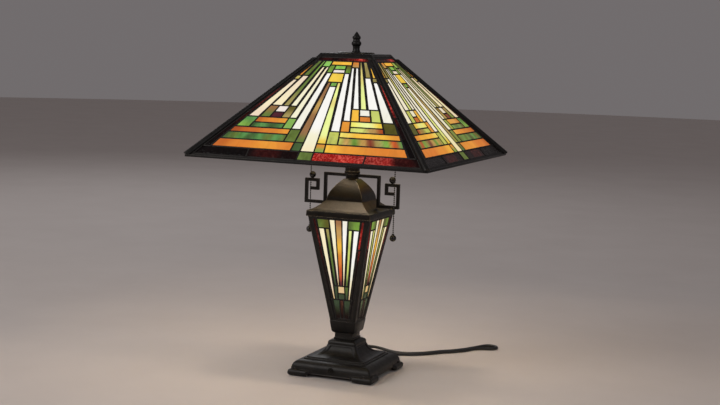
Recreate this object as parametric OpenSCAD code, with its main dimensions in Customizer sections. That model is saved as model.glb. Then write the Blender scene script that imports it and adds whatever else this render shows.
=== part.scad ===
// Stained glass table lamp: a square leaded shade over a lit, tapering glass column.
// Millimetres, +Z up. The origin is the middle of the base's underside and the front faces -Y.

/* [Shade] */
// Half of the shade's width at its bottom edge
shade_half = 203; // [170:1:240]
// Half of the shade's width at its top edge
shade_top_half = 43; // [36:1:50]
// Height of the shade's bottom edge above the table
shade_low_z = 369; // [355:1:380]
// Height of the shade's top edge above the table
shade_high_z = 535.6; // [525:0.2:545]
// Width of the lead lines between the shade's glasses
shade_lead = 1.9; // [1.4:0.1:2.6]

/* [Column] */
// Half of the column's width at its foot
column_low_half = 19.4; // [18:0.2:22]
// Half of the column's width at its head
column_high_half = 53.8; // [46:0.1:54]
// Width of the lead lines between the column's glasses
column_lead = 1.6; // [1.2:0.1:2]

/* [Base] */
// Half of the base's width over its feet
base_half = 75.5; // [75:0.5:78]
// Thickness of the felt pads
pad_t = 1.5; // [1:0.1:1.5]

/* [Arms and chains] */
// Thickness of the square bar that the scrolls are bent from
bar = 5; // [4:0.2:5]
// Radius of the balls on the scrolls and the chains
ball_r = 5.6; // [4:0.1:6]
// Distance of each chain from the middle of the lamp
chain_x = 80.6; // [78:0.1:82]
// Distance of each chain in front of or behind its scroll
chain_y = 12; // [11:0.5:14]

/* [Cord] */
// Diameter of the cord
cord_d = 5.6; // [5:0.1:5.8]

/* [Hidden] */
round_fn = 48;
fine_fn = 28;
run_gap = 0.05;
bore_gap = 0.3;

// Metal and glass colours
patina = [0.12, 0.10, 0.09];
bronze = [0.24, 0.19, 0.14];
brass = [0.62, 0.50, 0.28];
white_glass = [0.96, 0.95, 0.88];
green_glass = [0.45, 0.60, 0.32];
yellow_glass = [0.86, 0.88, 0.52];
amber_glass = [0.90, 0.62, 0.25];
brown_glass = [0.60, 0.40, 0.24];
red_glass = [0.60, 0.10, 0.10];

// ---- Faces and outlines -------------------------------------------------------

module four_sides() for (turn = [0:90:270]) rotate([0, 0, turn]) children();

// A square-plan solid: the same side outline seen from the front and from the side
module square_turned(outline) {
    far = 2 * max([for (p = outline) p[0]]) + 2;
    full = concat(outline, [for (i = [len(outline) - 1:-1:0]) [-outline[i][0], outline[i][1]]]);
    intersection() {
        rotate([90, 0, 0]) translate([0, 0, -far / 2]) linear_extrude(far) polygon(full);
        rotate([90, 0, 90]) translate([0, 0, -far / 2]) linear_extrude(far) polygon(full);
    }
}

// ---- Shade panel: radial lead lines and level lead lines --------------------------

shade_run = shade_half - shade_top_half;
shade_rise = shade_high_z - shade_low_z;
shade_slant = sqrt(shade_run * shade_run + shade_rise * shade_rise);
shade_lean = atan2(shade_rise, shade_run);
panel_t = 4;
panel_top_v = 225.5;
panel_setback = 3.5;
glass_t = 2.6;
glass_sink = 0.7;

function shade_hw(v) = shade_half - shade_run * v / shade_slant;

// Each radial line stands at a + b times the panel's half-width: [a, b]
LINES = [[0, 0.063], [0, 0.151], [4, 0.24], [4.3, 0.34], [5, 0.44], [5.5, 0.54],
         [5, 0.705], [-2.5, 0.905], [-4.2, 0.988], [5, 0.58]];
MID = 0;       // edge of the middle strip
FLANK = 1;     // edge of the flanking strip
BORDER = 7;    // inner edge of the red border
EDGE = 8;      // outer edge of the red border
EXTRA = 9;     // the short line under the outer strips
function line_u(i, v) = LINES[i][0] + LINES[i][1] * shade_hw(v);

// Level lines, as heights up the slope
ROW = [5, 22.3, 39.8, 54.6, 66, 76.6, 88.3, 99.8, 113.4];
TOP = [159, 168, 171, 180, 188, 195.8, 200.8, 205, 214, 222];
SPLIT_U = 98.5;      // the bottom border's joint
SPLIT_V = [99, 167]; // the side border's joints

// Cells of the right half: [glass, inner line, outer line, low v, high v]
SHADE_CELLS = [
    ["amber", FLANK, BORDER, ROW[1], ROW[2]],
    ["green", FLANK, 2, ROW[2], ROW[4]],
    ["green", 2, BORDER, ROW[2], ROW[3]],
    ["amber", 2, BORDER, ROW[3], ROW[4]],
    ["amber", 2, 3, ROW[4], ROW[6]],
    ["green", 3, 6, ROW[4], ROW[5]],
    ["yellow", 3, 6, ROW[5], ROW[6]],
    ["green", 6, BORDER, ROW[4], ROW[6]],
    ["amber", 3, 4, ROW[6], ROW[8]],
    ["brown", 4, EXTRA, ROW[6], ROW[7]],
    ["white", 4, EXTRA, ROW[7], ROW[8]],
    ["yellow", EXTRA, 6, ROW[6], ROW[8]],
    ["brown", MID, FLANK, ROW[1], ROW[2]],
    ["yellow", MID, FLANK, ROW[2], TOP[1]],
    ["white", FLANK, 2, ROW[4], TOP[4]],
    ["white", 2, 3, ROW[6], TOP[6]],
    ["white", 3, 4, ROW[8], TOP[6]],
    ["yellow", 4, 5, ROW[8], TOP[8]],
    ["white", 5, 6, ROW[8], TOP[3]],
    ["white", 6, BORDER, ROW[6], TOP[2]],
    ["green", 6, BORDER, TOP[2], TOP[3]],
    ["green", 5, 6, TOP[3], TOP[8]],
    ["amber", 6, BORDER, TOP[3], TOP[8]],
    ["amber", 2, 4, TOP[6], TOP[8]],
    ["green", FLANK, 2, TOP[4], TOP[7]],
    ["red", BORDER, EDGE, ROW[1], SPLIT_V[0]],
    ["red", BORDER, EDGE, SPLIT_V[0], SPLIT_V[1]],
    ["red", BORDER, EDGE, SPLIT_V[1], TOP[7]]
];
// Cells that stand on the middle line: [glass, outer line, low v, high v]
SHADE_MIDDLE = [
    ["green", MID, ROW[0], ROW[1]],
    ["white", MID, ROW[1], TOP[0]],
    ["green", MID, TOP[0], TOP[1]],
    ["yellow", FLANK, TOP[1], TOP[4]],
    ["white", FLANK, TOP[4], TOP[5]],
    ["green", FLANK, TOP[5], TOP[7]],
    ["amber", 2, TOP[7], TOP[8]],
    ["red", BORDER, TOP[8], TOP[9]]
];

// One glass between two radial lines and two level lines
module shade_cell(line_in, line_out, low, high, side) {
    g = shade_lead / 2;
    scale([side, 1]) polygon([
        [line_u(line_in, low + g) + g, low + g], [line_u(line_out, low + g) - g, low + g],
        [line_u(line_out, high - g) - g, high - g], [line_u(line_in, high - g) + g, high - g]]);
}
module shade_middle_cell(line_out, low, high) {
    g = shade_lead / 2;
    a = line_u(line_out, low + g) - g;
    b = line_u(line_out, high - g) - g;
    polygon([[-a, low + g], [a, low + g], [b, high - g], [-b, high - g]]);
}
// The bottom border: a short and a long red glass on each side of the middle square
module shade_bottom_border(side) {
    g = shade_lead / 2;
    inner = line_u(MID, ROW[0] + g) + g;
    scale([side, 1]) {
        polygon([[inner, ROW[0] + g], [SPLIT_U - g, ROW[0] + g],
                 [SPLIT_U - g, ROW[1] - g], [inner, ROW[1] - g]]);
        polygon([[SPLIT_U + g, ROW[0] + g], [line_u(EDGE, ROW[0] + g) - g, ROW[0] + g],
                 [line_u(EDGE, ROW[1] - g) - g, ROW[1] - g], [SPLIT_U + g, ROW[1] - g]]);
    }
}
module shade_cells(glass) {
    for (c = SHADE_CELLS) if (glass == "all" || c[0] == glass)
        for (side = [-1, 1]) shade_cell(c[1], c[2], c[3], c[4], side);
    for (c = SHADE_MIDDLE) if (glass == "all" || c[0] == glass)
        shade_middle_cell(c[1], c[2], c[3]);
    if (glass == "all" || glass == "red") for (side = [-1, 1]) shade_bottom_border(side);
}
module shade_outline() {
    low = shade_hw(0) - panel_setback;
    high = shade_hw(panel_top_v) - panel_setback;
    polygon([[-low, 0], [low, 0], [high, panel_top_v], [-high, panel_top_v]]);
}
// Stands a flat drawing up as the front panel, with its outer face on the pyramid
module shade_front(depth, thick)
    translate([0, -shade_half, shade_low_z]) rotate([shade_lean, 0, 0])
        translate([0, 0, -depth - thick]) linear_extrude(thick) children();
module shade_slabs() four_sides() shade_front(0, panel_t) shade_outline();
module shade_came(turn) color(patina) rotate([0, 0, turn]) shade_front(0, panel_t)
    difference() {
        shade_outline();
        shade_cells("all");
    }
module shade_glass(glass, tint) color(tint)
    four_sides() shade_front(glass_sink, glass_t) shade_cells(glass);

module shade_came_front() shade_came(0);
module shade_came_right() shade_came(90);
module shade_came_back() shade_came(180);
module shade_came_left() shade_came(270);
module shade_glass_white() shade_glass("white", white_glass);
module shade_glass_green() shade_glass("green", green_glass);
module shade_glass_yellow() shade_glass("yellow", yellow_glass);
module shade_glass_amber() shade_glass("amber", amber_glass);
module shade_glass_brown() shade_glass("brown", brown_glass);
module shade_glass_red() shade_glass("red", red_glass);

// ---- Shade metalwork ----------------------------------------------------------

rim_low = shade_low_z - 2.5;
rim_high = shade_low_z + 1;
rim_out = shade_half + 1.2;
rim_in = shade_half - 6;
top_rim_z = shade_high_z - 7.6;
top_under_z = shade_high_z - 4;
ridge_low_r = 5.2;
ridge_high_r = 3.4;

module shade_ridges() color(patina) difference() {
    four_sides() intersection() {
        // the corner line runs up at this angle from the shade's lower corner
        translate([shade_half, -shade_half, shade_low_z])
            rotate([0, -atan2(shade_run * sqrt(2), shade_rise), -45])
                cylinder(h = shade_slant * 1.2, r1 = ridge_low_r, r2 = ridge_high_r, $fn = round_fn);
        translate([0, -shade_half - 20, rim_high])
            cube([shade_half + 20, shade_half + 20, top_rim_z - rim_high]);
    }
    shade_slabs();
}
module shade_rim() color(patina) difference() {
    translate([-rim_out, -rim_out, rim_low])
        cube([2 * rim_out, 2 * rim_out, rim_high - rim_low]);
    translate([-rim_in, -rim_in, rim_low - 1])
        cube([2 * rim_in, 2 * rim_in, rim_high - rim_low + 2]);
    shade_slabs();
}
stud_r = 3.1;
module shade_top_plate() color(patina) difference() {
    square_turned([[0, top_under_z], [shade_top_half - 2, top_under_z],
                   [shade_top_half - 2, top_rim_z], [shade_top_half + 7.6, top_rim_z],
                   [shade_top_half + 1.3, shade_high_z], [0, shade_high_z]]);
    shade_slabs();
    cylinder(h = 2 * shade_high_z, r = stud_r + bore_gap, center = true, $fn = round_fn);
}
cap_disc_h = 2.6;
module shade_cap() color(bronze) translate([0, 0, shade_high_z]) rotate_extrude($fn = round_fn)
    polygon([[stud_r + bore_gap, 0], [31, 0], [31, 1], [29.5, cap_disc_h - 0.4],
             [28.5, cap_disc_h], [stud_r + bore_gap, cap_disc_h]]);

// ---- Finial -------------------------------------------------------------------

finial_z = shade_high_z + cap_disc_h + run_gap;
finial_bore_h = 14;
module finial() color(patina) translate([0, 0, finial_z]) rotate_extrude($fn = round_fn)
    polygon(concat(
        [[stud_r + bore_gap, 0], [7, 0], [7, 1.2], [6, 2.4], [5.8, 5], [5.9, 8]],
        [for (a = [-60:20:60]) [4.2 + 4 * cos(a), 14 + 4.4 * sin(a)]],
        [for (a = [-60:20:60]) [3.8 + 3.1 * cos(a), 23.6 + 3.6 * sin(a)]],
        [[4, 28.8], [1.9, 31.6], [0.7, 33.2], [0, 33.6], [0, finial_bore_h],
         [stud_r + bore_gap, finial_bore_h]]));

// ---- Base ---------------------------------------------------------------------

foot_at = 62;
foot_post_r = 11;
plate_low = 5;
plate_high = 6.6;
plate_notch = 11.5;
cavity_half = 66.5;
plate_half = 66.3;
base_top = 57.5;
skirt_low = 6.5;     // the skirt's lower edge between the feet
skirt_half = 70.6;   // and how far out it stands there
skirt_gap_half = 42;
tube_r = 4.75;
tube_fit = 0.05;

module at_feet() for (x = [-foot_at, foot_at]) for (y = [-foot_at, foot_at])
    translate([x, y, 0]) children();

BASE_SIDE = concat(
    [[base_half - 1, pad_t], [base_half, pad_t + 1.5], [base_half, 7], [base_half - 1.5, 9.5],
     [base_half - 4.8, 11]],
    [for (a = [0:18:90]) [57.5 + 13 * cos(a), 14 + 12.5 * sin(a)]],
    [[55, 26.5], [55, 28.8], [51.5, 28.8], [51.5, 31]],
    [for (a = [0:15:75]) [49.5 - 23.5 * sin(a), 31 + 21 * (1 - cos(a))]],
    [[25.4, 49.5], [25.4, 53], [24, 55.5], [20.5, base_top]]);
CAVITY_SIDE = [[0, 0], [cavity_half, 0], [cavity_half, 9], [64, 14], [58, 21], [48, 26],
               [33, 31], [23, 42], [18, 48], [18, 51], [0, 51]];

switch_z = 16.5;
switch_hole_r = 4.2;
gland_x = 8;
gland_z = 12;
gland_r = 5;

module base_casting() color(patina) difference() {
    union() {
        difference() {
            square_turned(concat([[0, pad_t]], BASE_SIDE, [[0, base_top]]));
            square_turned(CAVITY_SIDE);
        }
        at_feet() translate([0, 0, pad_t]) cylinder(h = 13, r = foot_post_r, $fn = round_fn);
        // boss behind the skirt for the switch and for the cord's gland
        translate([-9, -67.5, plate_high]) cube([18, 7.5, 23 - plate_high]);
        translate([gland_x - 8, 60, plate_high]) cube([16, 8.5, 18 - plate_high]);
    }
    // between its feet the skirt is lifted off the table and stands further in
    for (turn = [0, 90]) rotate([0, 0, turn])
        translate([-skirt_gap_half, -base_half - 1, 0])
            cube([2 * skirt_gap_half, 2 * base_half + 2, skirt_low]);
    four_sides() translate([-skirt_gap_half, -base_half - 1, 0])
        cube([2 * skirt_gap_half, base_half + 1 - skirt_half, 11.2]);
    cylinder(h = 200, r = tube_r + tube_fit, $fn = round_fn);
    translate([0, 0, switch_z]) rotate([90, 0, 0]) cylinder(h = 90, r = switch_hole_r, $fn = round_fn);
    translate([gland_x, 0, gland_z]) rotate([-90, 0, 0]) cylinder(h = 90, r = gland_r, $fn = round_fn);
}
module foot_pads() color("dimgray") at_feet() cylinder(h = pad_t, r = 8, $fn = round_fn);
module base_plate() color("gray") difference() {
    translate([-plate_half, -plate_half, plate_low])
        cube([2 * plate_half, 2 * plate_half, plate_high - plate_low]);
    at_feet() translate([-plate_notch, -plate_notch, 0]) cube([2 * plate_notch, 2 * plate_notch, 30]);
}
module tube(low, high, r, wall) difference() {
    translate([0, 0, low]) cylinder(h = high - low, r = r, $fn = round_fn);
    translate([0, 0, low - 1]) cylinder(h = high - low + 2, r = r - wall, $fn = round_fn);
}
base_tube_low = 40;
base_tube_high = 84;
module base_tube() color(brass) tube(base_tube_low, base_tube_high, tube_r, 1.4);

// Nuts and washers on the two threaded tubes: [low z, height, radius, sides]
cap_inner_top = 324;
cluster_top = 392;
seat_low = top_under_z - run_gap - 2;
FASTENERS = [[43.5, 6, 9, 6], [49.5, 1.5, 13, round_fn], [cap_inner_top - 7.5, 6, 9, 6],
             [cap_inner_top - 1.5, 1.5, 9.5, round_fn], [cluster_top, 5, 9, 6],
             [seat_low - 6, 6, 9, 6]];
module tube_fasteners() color(brass) for (f = FASTENERS) difference() {
    translate([0, 0, f[0]]) cylinder(h = f[1], r = f[2], $fn = f[3]);
    translate([0, 0, f[0] - 1]) cylinder(h = f[1] + 2, r = tube_r + tube_fit, $fn = round_fn);
}
collar_top = 69;
module base_collar() color(patina) difference() {
    square_turned([[0, base_top], [17.4, base_top], [17.4, 60], [16.2, 61.5],
                   [16.2, 66.5], [16.8, collar_top], [0, collar_top]]);
    cylinder(h = 200, r = tube_r + tube_fit, $fn = round_fn);
}

// The turn switch: its body behind the skirt and its knob in front
module switch_body() color("dimgray") translate([0, 0, switch_z]) rotate([90, 0, 0]) {
    translate([0, 0, 46]) cylinder(h = 10, r = 5, $fn = round_fn);
    translate([0, 0, 56]) cylinder(h = 15, r = switch_hole_r - tube_fit, $fn = round_fn);
}
knob_r = 4.7;
module switch_knob() color(patina) translate([0, 0, switch_z]) rotate([90, 0, 0])
    translate([0, 0, 71 + run_gap]) union() {
        cylinder(h = 1.2, r = knob_r, $fn = round_fn);
        translate([0, 0, 1.2]) cylinder(h = 5.3, r = knob_r - 0.8, $fn = round_fn);
        translate([-0.9, -knob_r + 1.2, 6.5]) cube([1.8, 2 * knob_r - 2.4, 1.6]);
    }

// ---- Column -------------------------------------------------------------------

col_low_z = 71.5;
col_high_z = 264;
col_run = column_high_half - column_low_half;
col_rise = col_high_z - col_low_z;
col_slant = sqrt(col_run * col_run + col_rise * col_rise);
col_lean = atan2(col_run, col_rise);
post_w = 6;
col_panel_t = 3;
col_glass_t = 2;
col_glass_sink = 0.5;
col_panel_low = 3;
col_panel_high = 197;
cup_floor = 74;
cup_top = 90;
ring_low = 262;
ring_top = 270;

function col_hw(v) = column_low_half + col_run * v / col_slant;
function col_half_at(z) = column_low_half + col_run * (z - col_low_z) / col_rise;

// Each line of the column's panel: [u at the foot, gain in u for each millimetre up]
COL_LINES = [[0.6, 0.0285], [0.7, 0.0838], [4.9, 0.1085], [7, 0.1656], [12.4, 0.1765],
             [6.2, 0], [2.6, 0.0176]];
COL_SQUARE = 5; // side of the two squares under the middle strip
COL_STEM = 6;   // side of the stem under the squares
function col_u(i, v) = COL_LINES[i][0] + COL_LINES[i][1] * v;
// Level lines of the column's panel
COL_ROW = [23, 57, 68, 81, 147, 180];
COL_EDGE = 4;
// Cells of the right half: [glass, inner line, outer line, low v, high v]
COL_CELLS = [
    ["white", 0, 1, COL_ROW[3], col_panel_high - 1],
    ["yellow", 1, 2, COL_ROW[3], COL_ROW[5]],
    ["white", 2, 3, COL_ROW[1], COL_ROW[5]],
    ["green", 1, 3, COL_ROW[5], col_panel_high - 1],
    ["green", COL_SQUARE, 2, COL_ROW[1], COL_ROW[3]],
    ["green", COL_STEM, 3, COL_ROW[0], COL_ROW[1]],
    ["red", 3, COL_EDGE, COL_ROW[0], COL_ROW[1]],
    ["red", 3, COL_EDGE, COL_ROW[1], COL_ROW[4]],
    ["red", 3, COL_EDGE, COL_ROW[4], col_panel_high - 1]
];
// Cells on the middle line: [glass, u low, u high, low v, high v]
COL_MIDDLE = [
    ["red", 3, 3.6, COL_ROW[0], COL_ROW[1]],
    ["green", 6.2, 6.2, COL_ROW[1], COL_ROW[2]],
    ["white", 6.2, 6.2, COL_ROW[2], COL_ROW[3]],
    ["amber", 2.9, 6.2, COL_ROW[3], col_panel_high - 1]
];
module col_cells(glass) {
    g = column_lead / 2;
    for (c = COL_CELLS) if (glass == "all" || c[0] == glass) for (side = [-1, 1])
        scale([side, 1]) polygon([
            [col_u(c[1], c[3] + g) + g, c[3] + g], [col_u(c[2], c[3] + g) - g, c[3] + g],
            [col_u(c[2], c[4] - g) - g, c[4] - g], [col_u(c[1], c[4] - g) + g, c[4] - g]]);
    for (c = COL_MIDDLE) if (glass == "all" || c[0] == glass)
        polygon([[-c[1] + g, c[3] + g], [c[1] - g, c[3] + g],
                 [c[2] - g, c[4] - g], [-c[2] + g, c[4] - g]]);
}
module col_outline() {
    low = col_hw(col_panel_low) - post_w;
    high = col_hw(col_panel_high) - post_w;
    polygon([[-low, col_panel_low], [low, col_panel_low],
             [high, col_panel_high], [-high, col_panel_high]]);
}
module col_front(depth, thick)
    translate([0, -column_low_half, col_low_z]) rotate([90 + col_lean, 0, 0])
        translate([0, 0, -depth - thick]) linear_extrude(thick) children();
module col_slabs() four_sides() col_front(0, col_panel_t) col_outline();
module column_came(turn) color(patina) rotate([0, 0, turn]) col_front(0, col_panel_t)
    difference() {
        col_outline();
        col_cells("all");
    }
module column_glass(glass, tint) color(tint)
    four_sides() col_front(col_glass_sink, col_glass_t) col_cells(glass);

module column_came_front() column_came(0);
module column_came_right() column_came(90);
module column_came_back() column_came(180);
module column_came_left() column_came(270);
module column_glass_white() column_glass("white", white_glass);
module column_glass_green() column_glass("green", green_glass);
module column_glass_yellow() column_glass("yellow", yellow_glass);
module column_glass_amber() column_glass("amber", amber_glass);
module column_glass_red() column_glass("red", red_glass);

// A corner post: a square bar that leans out with the column's corner
module corner_post() {
    a = col_half_at(cup_floor);
    b = col_half_at(ring_top);
    w = post_w;
    polyhedron(
        points = [[a - w, -a, cup_floor], [a, -a, cup_floor], [a, -a + w, cup_floor],
                  [a - w, -a + w, cup_floor], [b - w, -b, ring_top], [b, -b, ring_top],
                  [b, -b + w, ring_top], [b - w, -b + w, ring_top]],
        faces = [[0, 1, 2, 3], [4, 7, 6, 5], [0, 4, 5, 1], [1, 5, 6, 2], [2, 6, 7, 3], [3, 7, 4, 0]]);
}
module column_frame() color(patina) difference() {
    union() {
        four_sides() corner_post();
        difference() {
            square_turned([[0, ring_low], [col_half_at(ring_low), ring_low],
                           [col_half_at(ring_top), ring_top], [0, ring_top]]);
            translate([-44, -44, ring_low - 1]) cube([88, 88, ring_top - ring_low + 2]);
        }
    }
    col_slabs();
}
module column_cup() color(patina) difference() {
    square_turned([[0, collar_top], [17.4, collar_top], [19.2, 70.2], [20.6, 72.5],
                   [col_half_at(cup_top) + 0.5, cup_top - 0.6], [col_half_at(cup_top) + 0.2, cup_top],
                   [0, cup_top]]);
    square_turned([[0, cup_floor], [col_half_at(cup_floor), cup_floor],
                   [col_half_at(cup_top + 1), cup_top + 1], [0, cup_top + 1]]);
    cylinder(h = 200, r = tube_r + tube_fit, $fn = round_fn);
}
module column_socket() color("ivory") difference() {
    translate([0, 0, base_tube_high]) rotate_extrude($fn = round_fn)
        polygon([[0, 0], [7, 0], [9, 3], [9, 26], [0, 26]]);
    translate([0, 0, base_tube_high + 8]) cylinder(h = 40, r = 6.4, $fn = round_fn);
}
column_bulb_z = base_tube_high + 8;
module column_bulb() color("lightyellow") translate([0, 0, column_bulb_z])
    rotate_extrude($fn = round_fn) polygon(concat(
        [[0, 0], [3, 0], [5.9, 4], [5.9, 18], [7, 21]],
        [for (a = [-50:14:90]) [13 * cos(a), 46 + 26 * sin(a)]]));

// ---- Column cap and neck ----------------------------------------------------------

cap_lip_low = 267.5;
cap_lip_high = 277.3;
cap_crease_z = 293.5;
cap_crease_half = 31.7;
cap_half = 56.2;
cap_top_half = 11;
cap_top = 328;
// The flare sinks in from the lip to the crease, and the dome swells above it
CAP_SIDE = concat(
    [[cap_half + 1, cap_lip_low], [cap_half, cap_lip_high]],
    [for (q = [0.9:-0.15:0]) [cap_crease_half + (cap_half - cap_crease_half) * q,
        cap_lip_high + (cap_crease_z - cap_lip_high) * pow(1 - q, 1.55)]],
    [for (s = [0.08:0.115:1.001]) [cap_top_half + (cap_crease_half - cap_top_half)
        * (1 - pow(s, 1.8)), cap_crease_z + (cap_top - cap_crease_z) * s]]);
module column_cap() color(bronze) difference() {
    square_turned(concat([[0, cap_lip_low]], CAP_SIDE, [[0, cap_top]]));
    square_turned([[0, cap_lip_low - 1], [55, cap_lip_low - 1], [55, ring_top],
                   [50, ring_top], [50, 274], [38, 279], [28.5, 290], [27, 300], [22, 312],
                   [12, cap_inner_top], [0, cap_inner_top]]);
    cylinder(h = 2 * cap_top, r = tube_r + tube_fit, $fn = round_fn);
}
neck_ring_low = 336.5;
neck_top = 341.5;
neck_r = 10.7;
module neck_coupling() color(bronze) rotate_extrude($fn = round_fn) polygon([
    [tube_r + tube_fit, cap_top], [11, cap_top], [11, cap_top + 1], [neck_r, cap_top + 2],
    [neck_r, neck_ring_low], [12.4, neck_ring_low], [13, neck_ring_low + 1],
    [13, neck_top - 1], [12.4, neck_top], [tube_r + tube_fit, neck_top]]);

// ---- Scroll arms ------------------------------------------------------------------

arm_z = [neck_ring_low - bar / 2, 285.5, 322, 307.6];
arm_x = [48, 82.6, 62, 75.6];
module bar_run(x0, z0, x1, z1) translate([min(x0, x1) - bar / 2, min(z0, z1) - bar / 2])
    square([abs(x1 - x0) + bar, abs(z1 - z0) + bar]);
module scroll_arm(side) color(patina) difference() {
    rotate([90, 0, 0]) translate([0, 0, -bar / 2]) linear_extrude(bar) scale([side, 1]) {
        bar_run(6, arm_z[0], arm_x[0], arm_z[0]);
        bar_run(arm_x[0], arm_z[0], arm_x[0], arm_z[1]);
        bar_run(arm_x[0], arm_z[1], arm_x[1], arm_z[1]);
        bar_run(arm_x[1], arm_z[1], arm_x[1], arm_z[2]);
        bar_run(arm_x[1], arm_z[2], arm_x[2], arm_z[2]);
        bar_run(arm_x[2], arm_z[2], arm_x[2], arm_z[3]);
        bar_run(arm_x[2], arm_z[3], arm_x[3] - bar / 2, arm_z[3]);
    }
    translate([0, 0, cap_top]) cylinder(h = 12, r = neck_r, $fn = round_fn);
}
module scroll_arm_left() scroll_arm(-1);
module scroll_arm_right() scroll_arm(1);
ball_x = 72;
module scroll_balls() color(patina) for (side = [-1, 1]) translate([side * ball_x, 0, arm_z[2] + bar / 2]) {
    cylinder(h = 2.5, r = 2.2, $fn = fine_fn);
    translate([0, 0, ball_r + 0.5]) sphere(r = ball_r, $fn = round_fn);
}

// ---- Cluster, sockets and bulbs inside the shade --------------------------------------

module cluster_cup() color(bronze) difference() {
    rotate_extrude($fn = round_fn) polygon([
        [tube_r + tube_fit, neck_top], [12.2, neck_top], [12.2, cluster_top - 6],
        [9, cluster_top], [tube_r + tube_fit, cluster_top]]);
    for (side = [-1, 1]) translate([side * 8.5, 0, socket_arm_z]) rotate([0, side * 90, 0])
        cylinder(h = 20, r = socket_arm_r, $fn = round_fn);
}
module upper_tube() color(brass) {
    tube(cap_inner_top - 10, seat_low, tube_r, 1.4);
    translate([0, 0, seat_low]) cylinder(h = finial_z + 12 - seat_low, r = stud_r, $fn = round_fn);
    translate([0, 0, seat_low - 6]) cylinder(h = 6, r = tube_r, $fn = round_fn);
}
module shade_seat() color(brass) difference() {
    translate([0, 0, seat_low]) cylinder(h = 2, r = 24, $fn = round_fn);
    translate([0, 0, seat_low - 1]) cylinder(h = 4, r = stud_r + tube_fit, $fn = round_fn);
}
socket_x = 60;
socket_arm_z = 377;
socket_arm_r = 4.5;
socket_low = 385;
socket_r = 17;
module socket_arms() color(brass) for (side = [-1, 1]) {
    translate([side * 8.5, 0, socket_arm_z]) rotate([0, side * 90, 0])
        cylinder(h = socket_x - 8.5, r = socket_arm_r - tube_fit, $fn = round_fn);
    translate([side * socket_x, 0, socket_arm_z])
        sphere(r = socket_arm_r - tube_fit, $fn = round_fn);
    translate([side * socket_x, 0, socket_arm_z])
        cylinder(h = socket_low - socket_arm_z, r = socket_arm_r - tube_fit, $fn = round_fn);
}
// Each chain comes out of a small bell on the side of its socket
bell_low = 391;
bell_high = 403;
bell_bore = 1.7;
module pull_socket(side) color(brass) difference() {
    union() {
        translate([side * socket_x, 0, socket_low]) rotate_extrude($fn = round_fn)
            polygon([[0, 0], [10, 0], [socket_r - 1, 7], [socket_r, 10], [socket_r, 42], [0, 42]]);
        hull() {
            translate([side * chain_x, -side * chain_y, bell_high - 5])
                cylinder(h = 5, r = 3, $fn = fine_fn);
            translate([side * (socket_x + 12), -side * 6, bell_high - 5])
                cylinder(h = 5, r = 3, $fn = fine_fn);
        }
        translate([side * chain_x, -side * chain_y, bell_low])
            cylinder(h = bell_high - bell_low, r = 3.2, $fn = fine_fn);
    }
    translate([side * socket_x, 0, socket_low + 14]) cylinder(h = 60, r = 13.6, $fn = round_fn);
    translate([side * chain_x, -side * chain_y, bell_low - 1])
        cylinder(h = bell_high - bell_low - 0.5, r = bell_bore, $fn = fine_fn);
}
module socket_left() pull_socket(-1);
module socket_right() pull_socket(1);
bulb_low = socket_low + 14;
module shade_bulb(side) color("lightyellow") translate([side * socket_x, 0, bulb_low])
    rotate_extrude($fn = round_fn) polygon(concat(
        [[0, 0], [5, 0], [13, 5], [13, 26], [14.5, 32]],
        [for (a = [-50:14:90]) [24 * cos(a), 61 + 24 * sin(a)]]));
module bulb_left() shade_bulb(-1);
module bulb_right() shade_bulb(1);

// ---- Pull chains ------------------------------------------------------------------

pivot_z = 383.6;
pin_r = 0.5;
cheek_r = 1.1;
link_low = 385.2;
bead_r = 1.2;
bead_top_z = pivot_z - 2.4;
bead_pitch = 3.3;
bead_count = 42;
chain_ball_z = 236;
// A rod that ends in two cheeks, with the pin that the chain's eye turns on
module pull_link(side) color(brass) translate([side * chain_x, -side * chain_y, 0]) union() {
    translate([0, 0, link_low]) cylinder(h = bell_high - 3.5 - link_low, r = bead_r, $fn = fine_fn);
    translate([0, 0, link_low]) cylinder(h = 2, r = 2, $fn = fine_fn);
    for (cheek = [-1, 1]) translate([0, cheek * 1.3, pivot_z]) {
        rotate([90, 0, 0]) cylinder(h = 0.8, r = cheek_r, center = true, $fn = fine_fn);
        translate([-cheek_r, -0.4, 0]) cube([2 * cheek_r, 0.8, link_low - pivot_z + 0.5]);
    }
    translate([0, 0, pivot_z]) rotate([90, 0, 0]) cylinder(h = 3, r = pin_r, center = true, $fn = fine_fn);
}
module pull_link_left() pull_link(-1);
module pull_link_right() pull_link(1);
module pull_chain(side) color(patina) translate([side * chain_x, -side * chain_y, 0]) union() {
    for (i = [0:bead_count - 1]) translate([0, 0, bead_top_z - i * bead_pitch])
        sphere(r = bead_r, $fn = fine_fn);
    translate([0, 0, chain_ball_z])
        cylinder(h = pivot_z - 0.8 - chain_ball_z, r = 0.45, $fn = fine_fn);
    translate([0, 0, pivot_z]) rotate([90, 0, 0]) difference() {
        cylinder(h = 1.5, r = 1.15, center = true, $fn = fine_fn);
        cylinder(h = 2, r = pin_r + 0.06, center = true, $fn = fine_fn);
    }
    translate([0, 0, chain_ball_z]) sphere(r = ball_r, $fn = round_fn);
    translate([0, 0, chain_ball_z + ball_r - 0.6]) cylinder(h = 2.4, r = 2, $fn = fine_fn);
}
module pull_chain_left() pull_chain(-1);
module pull_chain_right() pull_chain(1);

// ---- Cord and plug ----------------------------------------------------------------

lay_z = cord_d / 2 + 0.1;
top_z = lay_z + cord_d + 0.2;
gland_end = 98;
coil_x = -50;
coil_y = 126;
coil_turn = cord_d + 0.2;
coil_out_r = 36.8;   // middle of the outermost turn
coil_turns = 4;      // side by side, in each of two layers
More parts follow.
